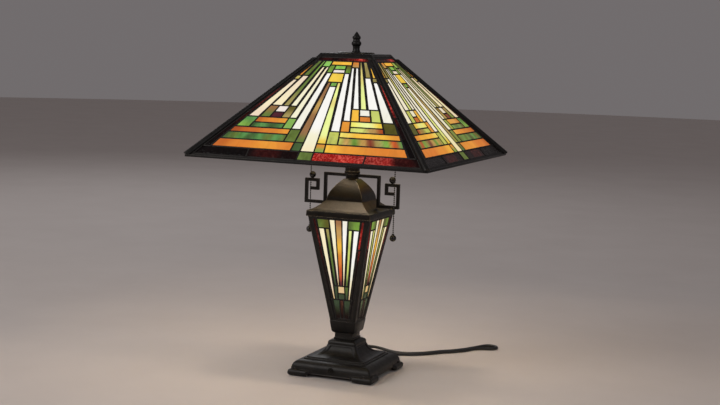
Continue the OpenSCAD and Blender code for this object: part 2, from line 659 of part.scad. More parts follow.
// Out of the gland, across the table, round a bend and back beside itself to the coil
CORD_ROUTE = [
    [gland_x, gland_end, gland_z], [8, 108, 11.3], [9, 119, 9], [11.5, 130, 6.4],
    [16.5, 140.5, 4.2], [24.5, 148.8, 3.2], [35.2, 154.9, lay_z], [56.7, 165.7, lay_z],
    [77.8, 182.8, lay_z], [99.1, 209.1, lay_z], [115, 225, lay_z], [132.3, 247.5, lay_z],
    [140.9, 265.1, lay_z], [150, 273.5, lay_z], [162, 278.5, lay_z], [172, 284.5, lay_z],
    [175.8, 294, lay_z], [171.5, 303.5, lay_z], [162, 307, lay_z], [152.5, 302.5, lay_z],
    [146, 291.5, lay_z], [141, 279.5, lay_z], [134.9, 267.9, lay_z], [126.7, 251.1, lay_z],
    [110, 229.2, lay_z], [94.1, 213.5, lay_z], [73, 187.4, lay_z], [53.1, 171.3, lay_z],
    [41, 166.7, lay_z], [27, 165.7, 3.1], [12.5, 167.3, 4.1], [-1, 167.8, 6.3],
    [-13, 166, top_z - 0.5], [-26, 163.4, top_z], [-40, coil_y + coil_out_r, top_z]];
// From under the coil out to the plug
TAIL_ROUTE = [[-32, 158.8, lay_z], [-42, 167.2, lay_z], [-50, 174, 3.4], [-58, 180.7, 4.8],
              [-66, 187.4, 6]];

// Points along a smooth curve through a route's points
function spline(p, i, t) =
    let (a = p[max(i - 1, 0)], b = p[i], c = p[i + 1], d = p[min(i + 2, len(p) - 1)])
    b + t * (c - a) / 2 + t * t * (a - 2.5 * b + 2 * c - 0.5 * d)
    + t * t * t * (1.5 * b - 0.5 * a - 1.5 * c + 0.5 * d);
function smooth(p, steps) = concat(
    [for (i = [0:len(p) - 2]) for (k = [0:steps - 1]) spline(p, i, k / steps)], [p[len(p) - 1]]);
function unit(v) = v / norm(v);
function heading(p, i) = unit(p[min(i + 1, len(p) - 1)] - p[max(i - 1, 0)]);
// One ring of the tube, square to the way that the cord runs
function ring(p, i, r, sides) =
    let (h = heading(p, i), s = unit(cross(h, [0, 0, 1])), u = cross(s, h))
    [for (k = [0:sides - 1]) p[i] + r * (cos(360 * k / sides) * s + sin(360 * k / sides) * u)];
module swept_tube(route, r, sides, steps) {
    p = smooth(route, steps);
    n = len(p);
    polyhedron(
        points = [for (i = [0:n - 1]) each ring(p, i, r, sides)],
        faces = concat(
            [[for (k = [0:sides - 1]) k]],
            [for (i = [0:n - 2]) for (k = [0:sides - 1])
                let (a = i * sides + k, b = i * sides + (k + 1) % sides)
                each [[a, a + sides, b], [b, a + sides, b + sides]]],
            [[for (k = [sides - 1:-1:0]) (n - 1) * sides + k]]));
}
module power_cord() color("black") swept_tube(CORD_ROUTE, cord_d / 2, 8, 2);
module cord_tail() color("black") swept_tube(TAIL_ROUTE, cord_d / 2, 8, 2);
module cord_coil() color("black") translate([coil_x, coil_y, 0.1]) rotate_extrude($fn = round_fn)
    translate([coil_out_r - (coil_turns - 0.5) * coil_turn, 0])
        square([coil_turns * coil_turn, 2 * coil_turn]);
module cord_gland() color("black") translate([gland_x, 0, gland_z]) rotate([-90, 0, 0])
    rotate_extrude($fn = round_fn) polygon([[0, 62], [gland_r - tube_fit, 62],
        [gland_r - tube_fit, 77], [4.4, 80], [3.4, gland_end], [0, gland_end]]);

// The plug lies behind the coil in line with the tail
plug_turn = 140;
module at_plug() translate([TAIL_ROUTE[4][0], TAIL_ROUTE[4][1], 0])
    rotate([0, 0, plug_turn]) children();
module plug_body() color("black") at_plug() translate([0, 0, 0.1]) linear_extrude(12)
    polygon([[0, -4], [6, -5.5], [11, -11], [26, -11], [26, 11], [11, 11], [6, 5.5], [0, 4]]);
module plug_prongs() color(brass) at_plug() for (side = [-1, 1])
    translate([26, side * 6.35 - 0.75, 2.9]) cube([16, 1.5, 6.4]);

foot_pads();
base_casting();
base_plate();
base_tube();
tube_fasteners();
base_collar();
switch_body();
switch_knob();
column_cup();
column_frame();
column_came_front();
column_came_right();
column_came_back();
column_came_left();
column_glass_white();
column_glass_green();
column_glass_yellow();
column_glass_amber();
column_glass_red();
column_socket();
column_bulb();
column_cap();
neck_coupling();
scroll_arm_left();
scroll_arm_right();
scroll_balls();
cluster_cup();
upper_tube();
socket_arms();
socket_left();
socket_right();
bulb_left();
bulb_right();
pull_link_left();
pull_link_right();
pull_chain_left();
pull_chain_right();
shade_seat();
shade_came_front();
shade_came_right();
shade_came_back();
shade_came_left();
shade_ridges();
shade_rim();
shade_top_plate();
shade_cap();
shade_glass_white();
shade_glass_green();
shade_glass_yellow();
shade_glass_amber();
shade_glass_brown();
shade_glass_red();
finial();
cord_gland();
power_cord();
cord_coil();
cord_tail();
plug_body();
plug_prongs();
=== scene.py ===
"""Stained glass table lamp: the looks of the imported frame, with +Z up and the front at -Y.

Outlines, routes and sizes are written in millimetres, and lights and node scales in metres."""
import math

import bpy
from mathutils import Matrix, Vector, noise


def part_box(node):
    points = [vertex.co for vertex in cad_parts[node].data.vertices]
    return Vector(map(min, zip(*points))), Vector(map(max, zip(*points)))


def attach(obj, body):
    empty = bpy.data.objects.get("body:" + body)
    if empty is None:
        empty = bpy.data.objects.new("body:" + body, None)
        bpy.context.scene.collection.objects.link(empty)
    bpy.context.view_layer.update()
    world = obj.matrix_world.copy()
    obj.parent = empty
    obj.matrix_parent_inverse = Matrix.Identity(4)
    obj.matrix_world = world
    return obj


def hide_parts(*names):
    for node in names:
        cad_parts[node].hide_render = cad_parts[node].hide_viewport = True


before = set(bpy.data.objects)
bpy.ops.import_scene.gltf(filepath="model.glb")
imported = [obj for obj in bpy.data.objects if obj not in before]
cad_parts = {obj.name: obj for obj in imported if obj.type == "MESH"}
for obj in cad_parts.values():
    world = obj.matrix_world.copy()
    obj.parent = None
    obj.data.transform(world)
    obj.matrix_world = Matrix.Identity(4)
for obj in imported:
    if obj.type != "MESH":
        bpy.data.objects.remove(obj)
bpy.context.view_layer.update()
MM = 0.001


# ---- Camera ------------------------------------------------------------------------

# Turns in radians, lengths in millimetres
CAMERA_YAW = 0.385
CAMERA_PITCH = 0.118
CAMERA_ROLL = 0.0322
CAMERA_AIM = Vector((0, 0, 300))
CAMERA_DISTANCE = 2363.9
CAMERA_SLIDE = (-13.89, 11.75)
CAMERA_LENS = 70.8
CAMERA_SENSOR = 36


def put_object(name, data):
    """A new object in the scene."""
    made = bpy.data.objects.new(name, data)
    bpy.context.scene.collection.objects.link(made)
    return made


def make_camera():
    """Stands the camera in front of the lamp, a little to its right and above it."""
    yaw, pitch = CAMERA_YAW, CAMERA_PITCH
    ahead = Vector((-math.sin(yaw) * math.cos(pitch), math.cos(yaw) * math.cos(pitch), -math.sin(pitch)))
    level = Vector((math.cos(yaw), math.sin(yaw), 0))
    upright = level.cross(ahead)
    right = math.cos(CAMERA_ROLL) * level + math.sin(CAMERA_ROLL) * upright
    up = -math.sin(CAMERA_ROLL) * level + math.cos(CAMERA_ROLL) * upright
    place = CAMERA_AIM - ahead * CAMERA_DISTANCE
    place -= right * CAMERA_SLIDE[0] + up * CAMERA_SLIDE[1]
    data = bpy.data.cameras.new("camera")
    data.lens = CAMERA_LENS
    data.sensor_width = CAMERA_SENSOR
    camera = put_object("camera", data)
    turn = Matrix((right, up, -ahead)).transposed().to_4x4()
    camera.matrix_world = Matrix.Translation(place * MM) @ turn
    bpy.context.scene.camera = camera


# ---- Shaping helpers ---------------------------------------------------------------


def light(red, green, blue):
    """A display colour, 0 to 255, as linear light."""
    shares = [c / 255 for c in (red, green, blue)]
    return tuple(c / 12.92 if c <= 10 / 255 else ((c + 0.055) / 1.055) ** 2.4 for c in shares)


def smooth_step(low, high, value):
    """0 below low, 1 above high, and an even curve between them."""
    t = min(max((value - low) / (high - low), 0), 1)
    return t * t * (3 - 2 * t)


def new_mesh(name, points, faces, material):
    """A mesh from points in millimetres, with one material."""
    mesh = bpy.data.meshes.new(name)
    mesh.from_pydata([Vector(p) * MM for p in points], [], faces)
    mesh.materials.append(material)
    return mesh


def make_piece(name, points, faces, material, body):
    """A smooth piece from points in millimetres, riding on its body."""
    mesh = new_mesh(name, points, faces, material)
    mesh.polygons.foreach_set("use_smooth", [True] * len(mesh.polygons))
    piece = put_object(name, mesh)
    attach(piece, body)
    return piece


SHORTEST_SIDE = 1e-6
SLIGHTEST_CORNER = math.radians(16)


def soften(outline, reach, steps=3):
    """An open outline with its corners rounded off, reaching at most that far along each side."""
    points = [Vector(p) for p in outline]
    result = [points[0]]
    for before, corner, after in zip(points, points[1:], points[2:]):
        way_in = corner - before
        way_out = after - corner
        too_short = min(way_in.length, way_out.length) < SHORTEST_SIDE
        if too_short or way_in.angle(way_out) < SLIGHTEST_CORNER:
            result.append(corner)
            continue
        cut_in = corner - way_in.normalized() * min(reach, way_in.length * 0.4)
        cut_out = corner + way_out.normalized() * min(reach, way_out.length * 0.4)
        for i in range(steps + 1):
            t = i / steps
            result.append(cut_in.lerp(corner, t).lerp(corner.lerp(cut_out, t), t))
    return result + [points[-1]]


def densify(outline, step):
    """An outline with extra points, so that no side is longer than step."""
    result = []
    for a, b in zip(outline, outline[1:]):
        count = max(1, math.ceil((b - a).length / step))
        result += [a.lerp(b, i / count) for i in range(count)]
    return result + [outline[-1]]


def ring_faces(rings, count):
    """The faces between rings of points, each ring of count points next to the one before."""
    faces = []
    for ring in range(rings - 1):
        for i in range(count):
            a = ring * count + i
            b = ring * count + (i + 1) % count
            faces.append((a, b, b + count, a + count))
    return faces


def first_ring(count):
    """The face that closes the first ring of count points."""
    return tuple(reversed(range(count)))


def last_ring(points, count):
    """The face that closes the last ring of count points."""
    return tuple(range(len(points) - count, len(points)))


FLAT_SHARE, CORNER_SHARE = 0.9, 0.1


def side_places(corner_count, flat_count):
    """Places along one side of a square, from -1 to 1: the ends beyond the flat belong to its corners."""
    flat = [-FLAT_SHARE + 2 * FLAT_SHARE * i / flat_count for i in range(flat_count + 1)]
    corner = [FLAT_SHARE + CORNER_SHARE * (i + 1) / corner_count for i in range(corner_count)]
    return [-c for c in reversed(corner)] + flat + corner[:-1]


def square_loft(outline, corner_r, places, shape):
    """Points and faces of a square-plan solid: outline is (half width, height), from the bottom up.

    shape(along, half, height) gives how far a point moves out and how far it moves up."""
    points = []
    for half, height in outline:
        radius = min(corner_r, half * 0.5)
        for turn in range(4):
            spin = Matrix.Rotation(turn * math.pi / 2, 3, "Z")
            for s in places:
                if abs(s) <= FLAT_SHARE:
                    along, depth = s / FLAT_SHARE * (half - radius), half
                else:
                    bend = (abs(s) - FLAT_SHARE) / CORNER_SHARE * math.pi / 4
                    along = math.copysign(half - radius + radius * math.sin(bend), s)
                    depth = half - radius + radius * math.cos(bend)
                out, lift = shape(along, half, height)
                scale = 1 + out / half
                points.append(spin @ Vector((along * scale, -depth * scale, height + lift)))
    return points, ring_faces(len(outline), 4 * len(places))


def lathe(outline, sides, centre=(0, 0)):
    """Points and faces of a turned solid: outline is (radius, height), from the bottom up."""
    points = []
    for radius, height in outline:
        for i in range(sides):
            a = 2 * math.pi * i / sides
            points.append((centre[0] + radius * math.cos(a), centre[1] + radius * math.sin(a), height))
    return points, ring_faces(len(outline), sides)


def arc(centre, reach, angles):
    """Points (half width, height) round an ellipse, at angles in degrees up from level."""
    turns = [math.radians(a) for a in angles]
    return [(centre[0] + reach[0] * math.cos(a), centre[1] + reach[1] * math.sin(a)) for a in turns]


def tube_mesh(path, radius, sides):
    """Points and faces of a closed tube along a path, with a flat end at each end."""
    points = []
    for i, here in enumerate(path):
        ahead = (path[min(i + 1, len(path) - 1)] - path[max(i - 1, 0)]).normalized()
        aside = ahead.cross(Vector((0, 0, 1))).normalized()
        over = aside.cross(ahead)
        for k in range(sides):
            a = 2 * math.pi * k / sides
            points.append(here + radius * (math.cos(a) * aside + math.sin(a) * over))
    faces = [first_ring(sides), *ring_faces(len(path), sides), last_ring(points, sides)]
    return points, faces


def joined(*parts):
    """Several (points, faces) as one."""
    points, faces = [], []
    for more_points, more_faces in parts:
        start = len(points)
        points += list(more_points)
        faces += [tuple(start + i for i in face) for face in more_faces]
    return points, faces


# ---- Node helpers ------------------------------------------------------------------


def feed(tree, sockets, values):
    """Sets sockets to values, or joins them to other sockets."""
    for name, value in values.items():
        if isinstance(value, bpy.types.NodeSocket):
            tree.links.new(value, sockets[name])
        else:
            sockets[name].default_value = value


def add(tree, kind, inputs=None, **settings):
    """One node with its settings, and its inputs set to values or joined to other sockets."""
    made = tree.nodes.new(kind)
    for name, value in settings.items():
        setattr(made, name, value)
    feed(tree, made.inputs, inputs or {})
    return made


def maths(tree, operation, a, b):
    """The result of one sum."""
    return add(tree, "ShaderNodeMath", {0: a, 1: b}, operation=operation).outputs[0]


def ranged(tree, value, low, high, to_low=0.0, to_high=1.0):
    """A value carried from one range to another, held at its ends."""
    made = add(tree, "ShaderNodeMapRange", {"Value": value, "From Min": low, "From Max": high,
                                            "To Min": to_low, "To Max": to_high})
    return made.outputs["Result"]


def blended(tree, factor, first, second, blend="MIX"):
    """Two colours mixed by a factor. A mix node holds its colours in sockets 6 and 7."""
    made = add(tree, "ShaderNodeMix", data_type="RGBA", blend_type=blend)
    feed(tree, made.inputs, {0: factor, 6: first, 7: second})
    return made.outputs[2]


def scaled(tree, vector, factor):
    """A vector or colour times one number."""
    made = add(tree, "ShaderNodeVectorMath", {0: vector, "Scale": factor}, operation="SCALE")
    return made.outputs[0]


def combined(tree, operation, first, second, output="Vector"):
    """The result of one sum of two vectors or colours."""
    return add(tree, "ShaderNodeVectorMath", {0: first, 1: second}, operation=operation).outputs[output]


def noisy(tree, place, scale, detail, **more):
    """Noise at a place, from 0 to 1."""
    inputs = {"Vector": place, "Scale": scale, "Detail": detail, **more}
    return add(tree, "ShaderNodeTexNoise", inputs).outputs["Fac"]


def colour(rgb):
    """A linear colour with full alpha."""
    return (*rgb, 1.0)


def new_group(name, inputs, outputs):
    """An empty node group and its two ends. An input with no value is a vector, the rest are numbers."""
    tree = bpy.data.node_groups.new(name, "ShaderNodeTree")
    for label, value in inputs.items():
        kind = "NodeSocketVector" if value is None else "NodeSocketFloat"
        socket = tree.interface.new_socket(label, in_out="INPUT", socket_type=kind)
        if value is not None:
            socket.default_value = value
    for label in outputs:
        tree.interface.new_socket(label, in_out="OUTPUT", socket_type="NodeSocketFloat")
    return tree, tree.nodes.new("NodeGroupInput").outputs, tree.nodes.new("NodeGroupOutput").inputs


def use_group(tree, group, inputs):
    """A node group placed in a material with its own values."""
    made = tree.nodes.new("ShaderNodeGroup")
    made.node_tree = group
    feed(tree, made.inputs, inputs)
    return made.outputs


def place_of(tree):
    """Where a point is on its own object."""
    return add(tree, "ShaderNodeTexCoord").outputs["Object"]


# ---- Shared effects ----------------------------------------------------------------


def make_cloudy():
    """Soft uneven patches."""
    tree, start, end = new_group("cloudy_patches", {"Scale": 40.0, "Contrast": 0.2}, ["Mask"])
    patches = noisy(tree, place_of(tree), scale=start["Scale"], detail=5.0, Roughness=0.6)
    low = maths(tree, "SUBTRACT", 0.5, start["Contrast"])
    high = maths(tree, "ADD", 0.5, start["Contrast"])
    feed(tree, end, {"Mask": ranged(tree, patches, low, high)})
    return tree


def make_edge_wear_and_sheen():
    """A mask along the outer edges, broken up in patches as rubbing breaks it. It marks real rubbing, and
    on the bronze a painted highlight too.
    """
    tree, start, end = new_group("edge_wear_and_sheen", {"Reach": 0.0008, "Amount": 0.7}, ["Mask"])
    rounded = add(tree, "ShaderNodeBevel", {"Radius": start["Reach"]}, samples=6)
    flat = add(tree, "ShaderNodeNewGeometry")
    match = combined(tree, "DOT_PRODUCT", rounded.outputs["Normal"], flat.outputs["Normal"], "Value")
    edge = ranged(tree, match, 0.995, 0.86)
    rub_and_sheen = ranged(tree, noisy(tree, place_of(tree), scale=130.0, detail=3.0), 0.32, 0.62)
    wear_and_sheen = maths(tree, "MULTIPLY", edge, rub_and_sheen)
    feed(tree, end, {"Mask": maths(tree, "MULTIPLY", wear_and_sheen, start["Amount"])})
    return tree


def make_cast_grain():
    """The fine unevenness of a casting, as a height."""
    tree, start, end = new_group("cast_grain", {"Scale": 700.0, "Waviness": 0.5}, ["Height"])
    place = place_of(tree)
    fine = noisy(tree, place, scale=start["Scale"], detail=3.0)
    broad = noisy(tree, place, scale=55.0, detail=2.0)
    waves = maths(tree, "MULTIPLY", broad, start["Waviness"])
    feed(tree, end, {"Height": maths(tree, "ADD", fine, waves)})
    return tree


def make_dusting():
    """A mask of faint dust on faces that look up."""
    tree, start, end = new_group("dusting", {"Amount": 0.15}, ["Mask"])
    normal = add(tree, "ShaderNodeNewGeometry").outputs["Normal"]
    facing = add(tree, "ShaderNodeSeparateXYZ", {"Vector": normal})
    upward = ranged(tree, facing.outputs["Z"], 0.35, 1.0)
    settled = ranged(tree, noisy(tree, place_of(tree), scale=260.0, detail=4.0), 0.38, 0.7)
    mask = maths(tree, "MULTIPLY", upward, settled)
    feed(tree, end, {"Mask": maths(tree, "MULTIPLY", mask, start["Amount"])})
    return tree


def make_glass_wisps():
    """Wisps drawn out along a glass, from dark to light round 1."""
    inputs = {"Place": None, "Across": 160.0, "Along": 26.0, "Depth": 0.2}
    tree, start, end = new_group("glass_wisps", inputs, ["Shade", "Mask"])
    split = add(tree, "ShaderNodeSeparateXYZ", {"Vector": start["Place"]})
    drawn = add(tree, "ShaderNodeCombineXYZ", {
        "X": maths(tree, "MULTIPLY", split.outputs["X"], start["Across"]),
        "Y": maths(tree, "MULTIPLY", split.outputs["Y"], start["Along"]),
        "Z": maths(tree, "MULTIPLY", split.outputs["Z"], 7.0)})
    wisps = noisy(tree, drawn.outputs[0], scale=1.0, detail=4.0, Roughness=0.55, Distortion=0.6)
    mask = ranged(tree, wisps, 0.3, 0.7)
    swing = maths(tree, "MULTIPLY", maths(tree, "SUBTRACT", mask, 0.6), start["Depth"])
    feed(tree, end, {"Mask": mask, "Shade": maths(tree, "ADD", swing, 1.0)})
    return tree


def make_hammered():
    """The close dimples of a hammered glass, as a height and as bright glints."""
    inputs = {"Place": None, "Scale": 330.0}
    tree, start, end = new_group("hammered_dimples", inputs, ["Height", "Glints"])
    bent = add(tree, "ShaderNodeTexNoise", {"Vector": start["Place"], "Scale": 160.0, "Detail": 2.0})
    shifted = combined(tree, "MULTIPLY", bent.outputs["Color"], (0.006, 0.006, 0.006))
    moved = combined(tree, "ADD", start["Place"], shifted)
    dimples = add(tree, "ShaderNodeTexVoronoi", {"Vector": moved, "Scale": start["Scale"]},
                  feature="SMOOTH_F1")
    feed(tree, dimples.inputs, {"Smoothness": 0.6})
    height = dimples.outputs["Distance"]
    feed(tree, end, {"Height": height, "Glints": ranged(tree, height, 0.42, 0.72)})
    return tree


CLOUDY = make_cloudy()
EDGE_WEAR_AND_SHEEN = make_edge_wear_and_sheen()
CAST_GRAIN = make_cast_grain()
DUSTING = make_dusting()
GLASS_WISPS = make_glass_wisps()
HAMMERED = make_hammered()


# ---- Materials ---------------------------------------------------------------------


def new_material(name):
    """An empty material with its shader: its tree and the shader's inputs."""
    material = bpy.data.materials.new(name)
    material.use_nodes = True
    return material, material.node_tree, material.node_tree.nodes["Principled BSDF"].inputs


def clouds(tree, scale, contrast):
    """The mask of cloudy patches."""
    return use_group(tree, CLOUDY, {"Scale": scale, "Contrast": contrast})["Mask"]


def bumped(tree, height, strength, distance):
    """The normal of a surface with a height on it, distance in metres."""
    inputs = {"Height": height, "Strength": strength, "Distance": distance}
    return add(tree, "ShaderNodeBump", inputs).outputs["Normal"]


def grainy(tree, scale, waviness, strength, distance):
    """The normal of a surface with a fine grain."""
    height = use_group(tree, CAST_GRAIN, {"Scale": scale, "Waviness": waviness})["Height"]
    return bumped(tree, height, strength, distance)


DUST_COLOUR = (0.20, 0.18, 0.16)


def aged_metal(name, dark, pale, rub_and_sheen, metallic, roughness, reach, wear_and_sheen_amount, grain):
    """Cast or drawn metal under a chemical patina, paler along its edges where rubbing shows through.
    Where the pale edge colour is bright, as on the bronze, it also paints a highlight.
    """
    material, tree, shader = new_material(name)
    wear_and_sheen = use_group(tree, EDGE_WEAR_AND_SHEEN, {"Reach": reach, "Amount": wear_and_sheen_amount})["Mask"]
    dust = use_group(tree, DUSTING, {"Amount": 0.10})["Mask"]
    patches = clouds(tree, scale=34.0, contrast=0.17)
    skin = blended(tree, patches, colour(dark), colour(pale))
    skin = blended(tree, wear_and_sheen, skin, colour(rub_and_sheen))
    skin = blended(tree, dust, skin, colour(DUST_COLOUR))
    smears = clouds(tree, scale=90.0, contrast=0.25)
    gloss = ranged(tree, smears, 0.0, 1.0, roughness - 0.07, roughness + 0.09)
    gloss = maths(tree, "SUBTRACT", gloss, maths(tree, "MULTIPLY", wear_and_sheen, 0.12))
    normal = grainy(tree, scale=650.0, waviness=1.2, strength=grain, distance=0.0004)
    feed(tree, shader, {"Base Color": skin, "Roughness": gloss, "Normal": normal, "Metallic": metallic})
    return material


def plain_brass():
    """Lacquered brass, gone a little dull in patches."""
    material, tree, shader = new_material("brass")
    patches = clouds(tree, scale=60.0, contrast=0.2)
    skin = blended(tree, patches, colour((0.42, 0.30, 0.12)), colour((0.62, 0.47, 0.21)))
    gloss = ranged(tree, patches, 0.0, 1.0, 0.4, 0.24)
    normal = grainy(tree, scale=900.0, waviness=0.3, strength=0.15, distance=0.0002)
    feed(tree, shader, {"Base Color": skin, "Roughness": gloss, "Normal": normal, "Metallic": 1.0})
    return material


def moulded(name, dark, pale, roughness, grain, scale):
    """A moulded, pressed or glazed surface with fine grain."""
    material, tree, shader = new_material(name)
    patches = clouds(tree, scale, contrast=0.22)
    skin = blended(tree, patches, colour(dark), colour(pale))
    gloss = ranged(tree, patches, 0.0, 1.0, roughness + 0.06, roughness - 0.05)
    normal = grainy(tree, scale=1100.0, waviness=0.4, strength=grain, distance=0.0003)
    feed(tree, shader, {"Base Color": skin, "Roughness": gloss, "Normal": normal})
    return material


def lit_bulb():
    """Frosted glass with the filament's glow in it."""
    material, tree, shader = new_material("bulb_glass")
    haze = clouds(tree, scale=70.0, contrast=0.3)
    glow = blended(tree, haze, colour((1.0, 0.83, 0.58)), colour((1.0, 0.93, 0.78)))
    feed(tree, shader, {"Emission Color": glow, "Emission Strength": 4.0, "Roughness": 0.35,
                        "Base Color": colour((0.85, 0.82, 0.75))})
    return material


# The pink that a dimple's bright side adds to red glass, and how far its dull side falls
GLINT_PINK = (0.85, 0.30, 0.22)
GLINT_DULL = 0.66
# How much of its glow a glass shows as its own colour where room light falls on it
GLASS_BODY = 0.15


def opal_glass(name, depth, across, along, second, amount, ripple, glints):
    """Streaky opal glass lit from behind: its tint, the painted glow of the bulbs through it, is in the
    mesh, wisps and ripples are added here.
    """
    material, tree, shader = new_material(name)
    tint = add(tree, "ShaderNodeAttribute", attribute_name="tint").outputs["Color"]
    place = add(tree, "ShaderNodeAttribute", attribute_name="panel_place").outputs["Vector"]
    streaks = {"Place": place, "Across": across, "Along": along, "Depth": depth}
    shade = use_group(tree, GLASS_WISPS, streaks)["Shade"]
    broad = {"Place": place, "Across": across * 0.35, "Along": along * 1.5, "Depth": 1.0}
    blots = use_group(tree, GLASS_WISPS, broad)["Mask"]
    stained = blended(tree, 1.0, tint, colour(second), "MULTIPLY")
    mixed = blended(tree, maths(tree, "MULTIPLY", blots, amount), tint, stained)
    shaded = scaled(tree, mixed, shade)
    glow = shaded
    dimples = use_group(tree, HAMMERED, {"Place": place})
    if glints:
        spark = maths(tree, "MULTIPLY", dimples["Glints"], glints)
        redness = combined(tree, "DOT_PRODUCT", shaded, (1, 0, 0), "Value")
        bright = combined(tree, "ADD", shaded, scaled(tree, GLINT_PINK, redness))
        glow = blended(tree, spark, scaled(tree, shaded, GLINT_DULL), bright)
    flow = noisy(tree, place, scale=75.0, detail=2.0)
    height = maths(tree, "ADD", flow, maths(tree, "MULTIPLY", dimples["Height"], ripple))
    normal = bumped(tree, height, strength=0.35, distance=0.0012)
    body = scaled(tree, shaded, GLASS_BODY)
    feed(tree, shader, {"Emission Color": glow, "Emission Strength": 1.0, "Base Color": body,
                        "Normal": normal, "Roughness": 0.24, "Specular IOR Level": 0.14, "IOR": 1.52})
    return material


def floor_paint():
    """Pale matt floor."""
    material, tree, shader = new_material("pale_floor")
    patches = clouds(tree, scale=5.0, contrast=0.35)
    skin = blended(tree, patches, colour((0.62, 0.56, 0.53)), colour((0.68, 0.62, 0.59)))
    feed(tree, shader, {"Base Color": skin, "Roughness": 0.75})
    return material


DARK_PATINA = aged_metal(
    "dark_patina", dark=(0.009, 0.0085, 0.0082), pale=(0.019, 0.0172, 0.016), rub_and_sheen=(0.13, 0.11, 0.09),
    metallic=0.55, roughness=0.42, reach=0.0009, wear_and_sheen_amount=0.5, grain=0.3)
LEAD_LINES = aged_metal(
    "lead_lines", dark=(0.006, 0.005, 0.0046), pale=(0.015, 0.0115, 0.0095), rub_and_sheen=(0.03, 0.024, 0.02),
    metallic=0.3, roughness=0.55, reach=0.0003, wear_and_sheen_amount=0.15, grain=0.2)
# The bronze's bright edge colour is a painted highlight down the cap's crisp corners and along its other
# edges, on top of rubbing.
BRONZE_PATINA = aged_metal(
    "bronze_patina", dark=(0.012, 0.0105, 0.009), pale=(0.026, 0.0215, 0.0165),
    rub_and_sheen=(0.50, 0.42, 0.30), metallic=0.75, roughness=0.34, reach=0.0018, wear_and_sheen_amount=0.9, grain=0.25)
CHAIN_METAL = aged_metal(
    "chain_metal", dark=(0.034, 0.033, 0.033), pale=(0.066, 0.063, 0.061), rub_and_sheen=(0.16, 0.15, 0.145),
    metallic=1.0, roughness=0.19, reach=0.0003, wear_and_sheen_amount=0.3, grain=0.1)
STEEL_PLATE = aged_metal(
    "steel_plate", dark=(0.16, 0.16, 0.165), pale=(0.26, 0.26, 0.265), rub_and_sheen=(0.4, 0.4, 0.4),
    metallic=0.9, roughness=0.42, reach=0.0005, wear_and_sheen_amount=0.3, grain=0.25)
BRASS = plain_brass()
FELT = moulded("felt", (0.018, 0.018, 0.018), (0.04, 0.04, 0.04),
               roughness=0.9, grain=1.0, scale=300.0)
BLACK_PLASTIC = moulded("black_plastic", (0.010, 0.010, 0.010), (0.02, 0.02, 0.02),
                        roughness=0.5, grain=0.3, scale=90.0)
SOCKET_SHELL = moulded("socket_shell", (0.62, 0.60, 0.54), (0.74, 0.72, 0.66),
                       roughness=0.25, grain=0.15, scale=60.0)
CORD_VINYL = moulded("cord_vinyl", (0.007, 0.007, 0.007), (0.014, 0.013, 0.013),
                     roughness=0.42, grain=0.25, scale=120.0)
BULB_GLASS = lit_bulb()
# Depth of the wisps, how fine they are across and along, the second stain and its amount, ripple,
# and glints
GLASS_SORTS = {
    "white": (0.07, 170.0, 20.0, (1.0, 0.965, 0.87), 0.55, 0.15, 0.0),
    "green": (0.55, 95.0, 34.0, (0.75, 0.72, 0.42), 0.75, 0.3, 0.0),
    "yellow": (0.16, 130.0, 22.0, (0.92, 0.98, 0.62), 0.6, 0.2, 0.0),
    "amber": (0.18, 80.0, 38.0, (0.96, 0.80, 0.60), 0.6, 0.2, 0.0),
    "brown": (0.35, 110.0, 24.0, (0.85, 0.66, 0.55), 0.7, 0.2, 0.0),
    "red": (0.6, 90.0, 45.0, (0.45, 0.3, 0.3), 0.85, 1.6, 0.5),
}
GLASSES = {sort: opal_glass("glass_" + sort, *values) for sort, values in GLASS_SORTS.items()}


# ---- Cord --------------------------------------------------------------------------

CORD_D = 5.6
LAY_Z = CORD_D / 2 + 0.1
TOP_Z = LAY_Z + CORD_D + 0.2
COIL_CENTRE = (-50, 126)
COIL_OUT_R = 36.8
COIL_TURN = CORD_D + 0.2
# Out of the gland, down to the table, round a narrow bend, back beside itself, and up on to the coil
CORD_ROUTE = [
    (8, 98, 12), (8, 108, 11.3), (9, 119, 9), (11.5, 130, 6.4), (16.5, 140.5, 4.2),
    (24.5, 148.8, 3.2), (35.2, 154.9, LAY_Z), (56.7, 165.7, LAY_Z), (77.8, 182.8, LAY_Z),
    (99.1, 209.1, LAY_Z), (115, 225, LAY_Z), (132.3, 247.5, LAY_Z), (140.9, 265.1, LAY_Z),
    (150, 273.5, LAY_Z), (162, 278.5, LAY_Z), (172, 284.5, LAY_Z), (175.8, 294, LAY_Z),
    (171.5, 303.5, LAY_Z), (162, 307, LAY_Z), (152.5, 302.5, LAY_Z), (146, 291.5, LAY_Z),
    (141, 279.5, LAY_Z), (134.9, 267.9, LAY_Z), (126.7, 251.1, LAY_Z), (110, 229.2, LAY_Z),
    (94.1, 213.5, LAY_Z), (73, 187.4, LAY_Z), (53.1, 171.3, LAY_Z), (41, 166.7, LAY_Z),
    (27, 165.7, 3.1), (12.5, 167.3, 4.1), (-1, 167.8, 6.3), (-13, 166, TOP_Z - 0.5),
    (-26, 163.4, TOP_Z), (-40, 162.8, TOP_Z)]
# From under the coil out to the plug
TAIL_ROUTE = [(-42, 167.2, LAY_Z), (-50, 174, 3.4), (-58, 180.7, 4.8), (-66, 187.4, 6)]
# The coil in degrees: four turns inwards on top, a step down, and four turns outwards below
TURNS_IN = [(250, 300), (610, 660), (970, 1020)]
STEP_DOWN = (1280, 1330)
TURNS_OUT = [(1590, 1640), (1950, 2000), (2310, 2360)]
COIL_FROM, COIL_TO, COIL_EVERY = 96, 2581, 11
CORD_STEP = 2.5
CORD_SIDES = 12
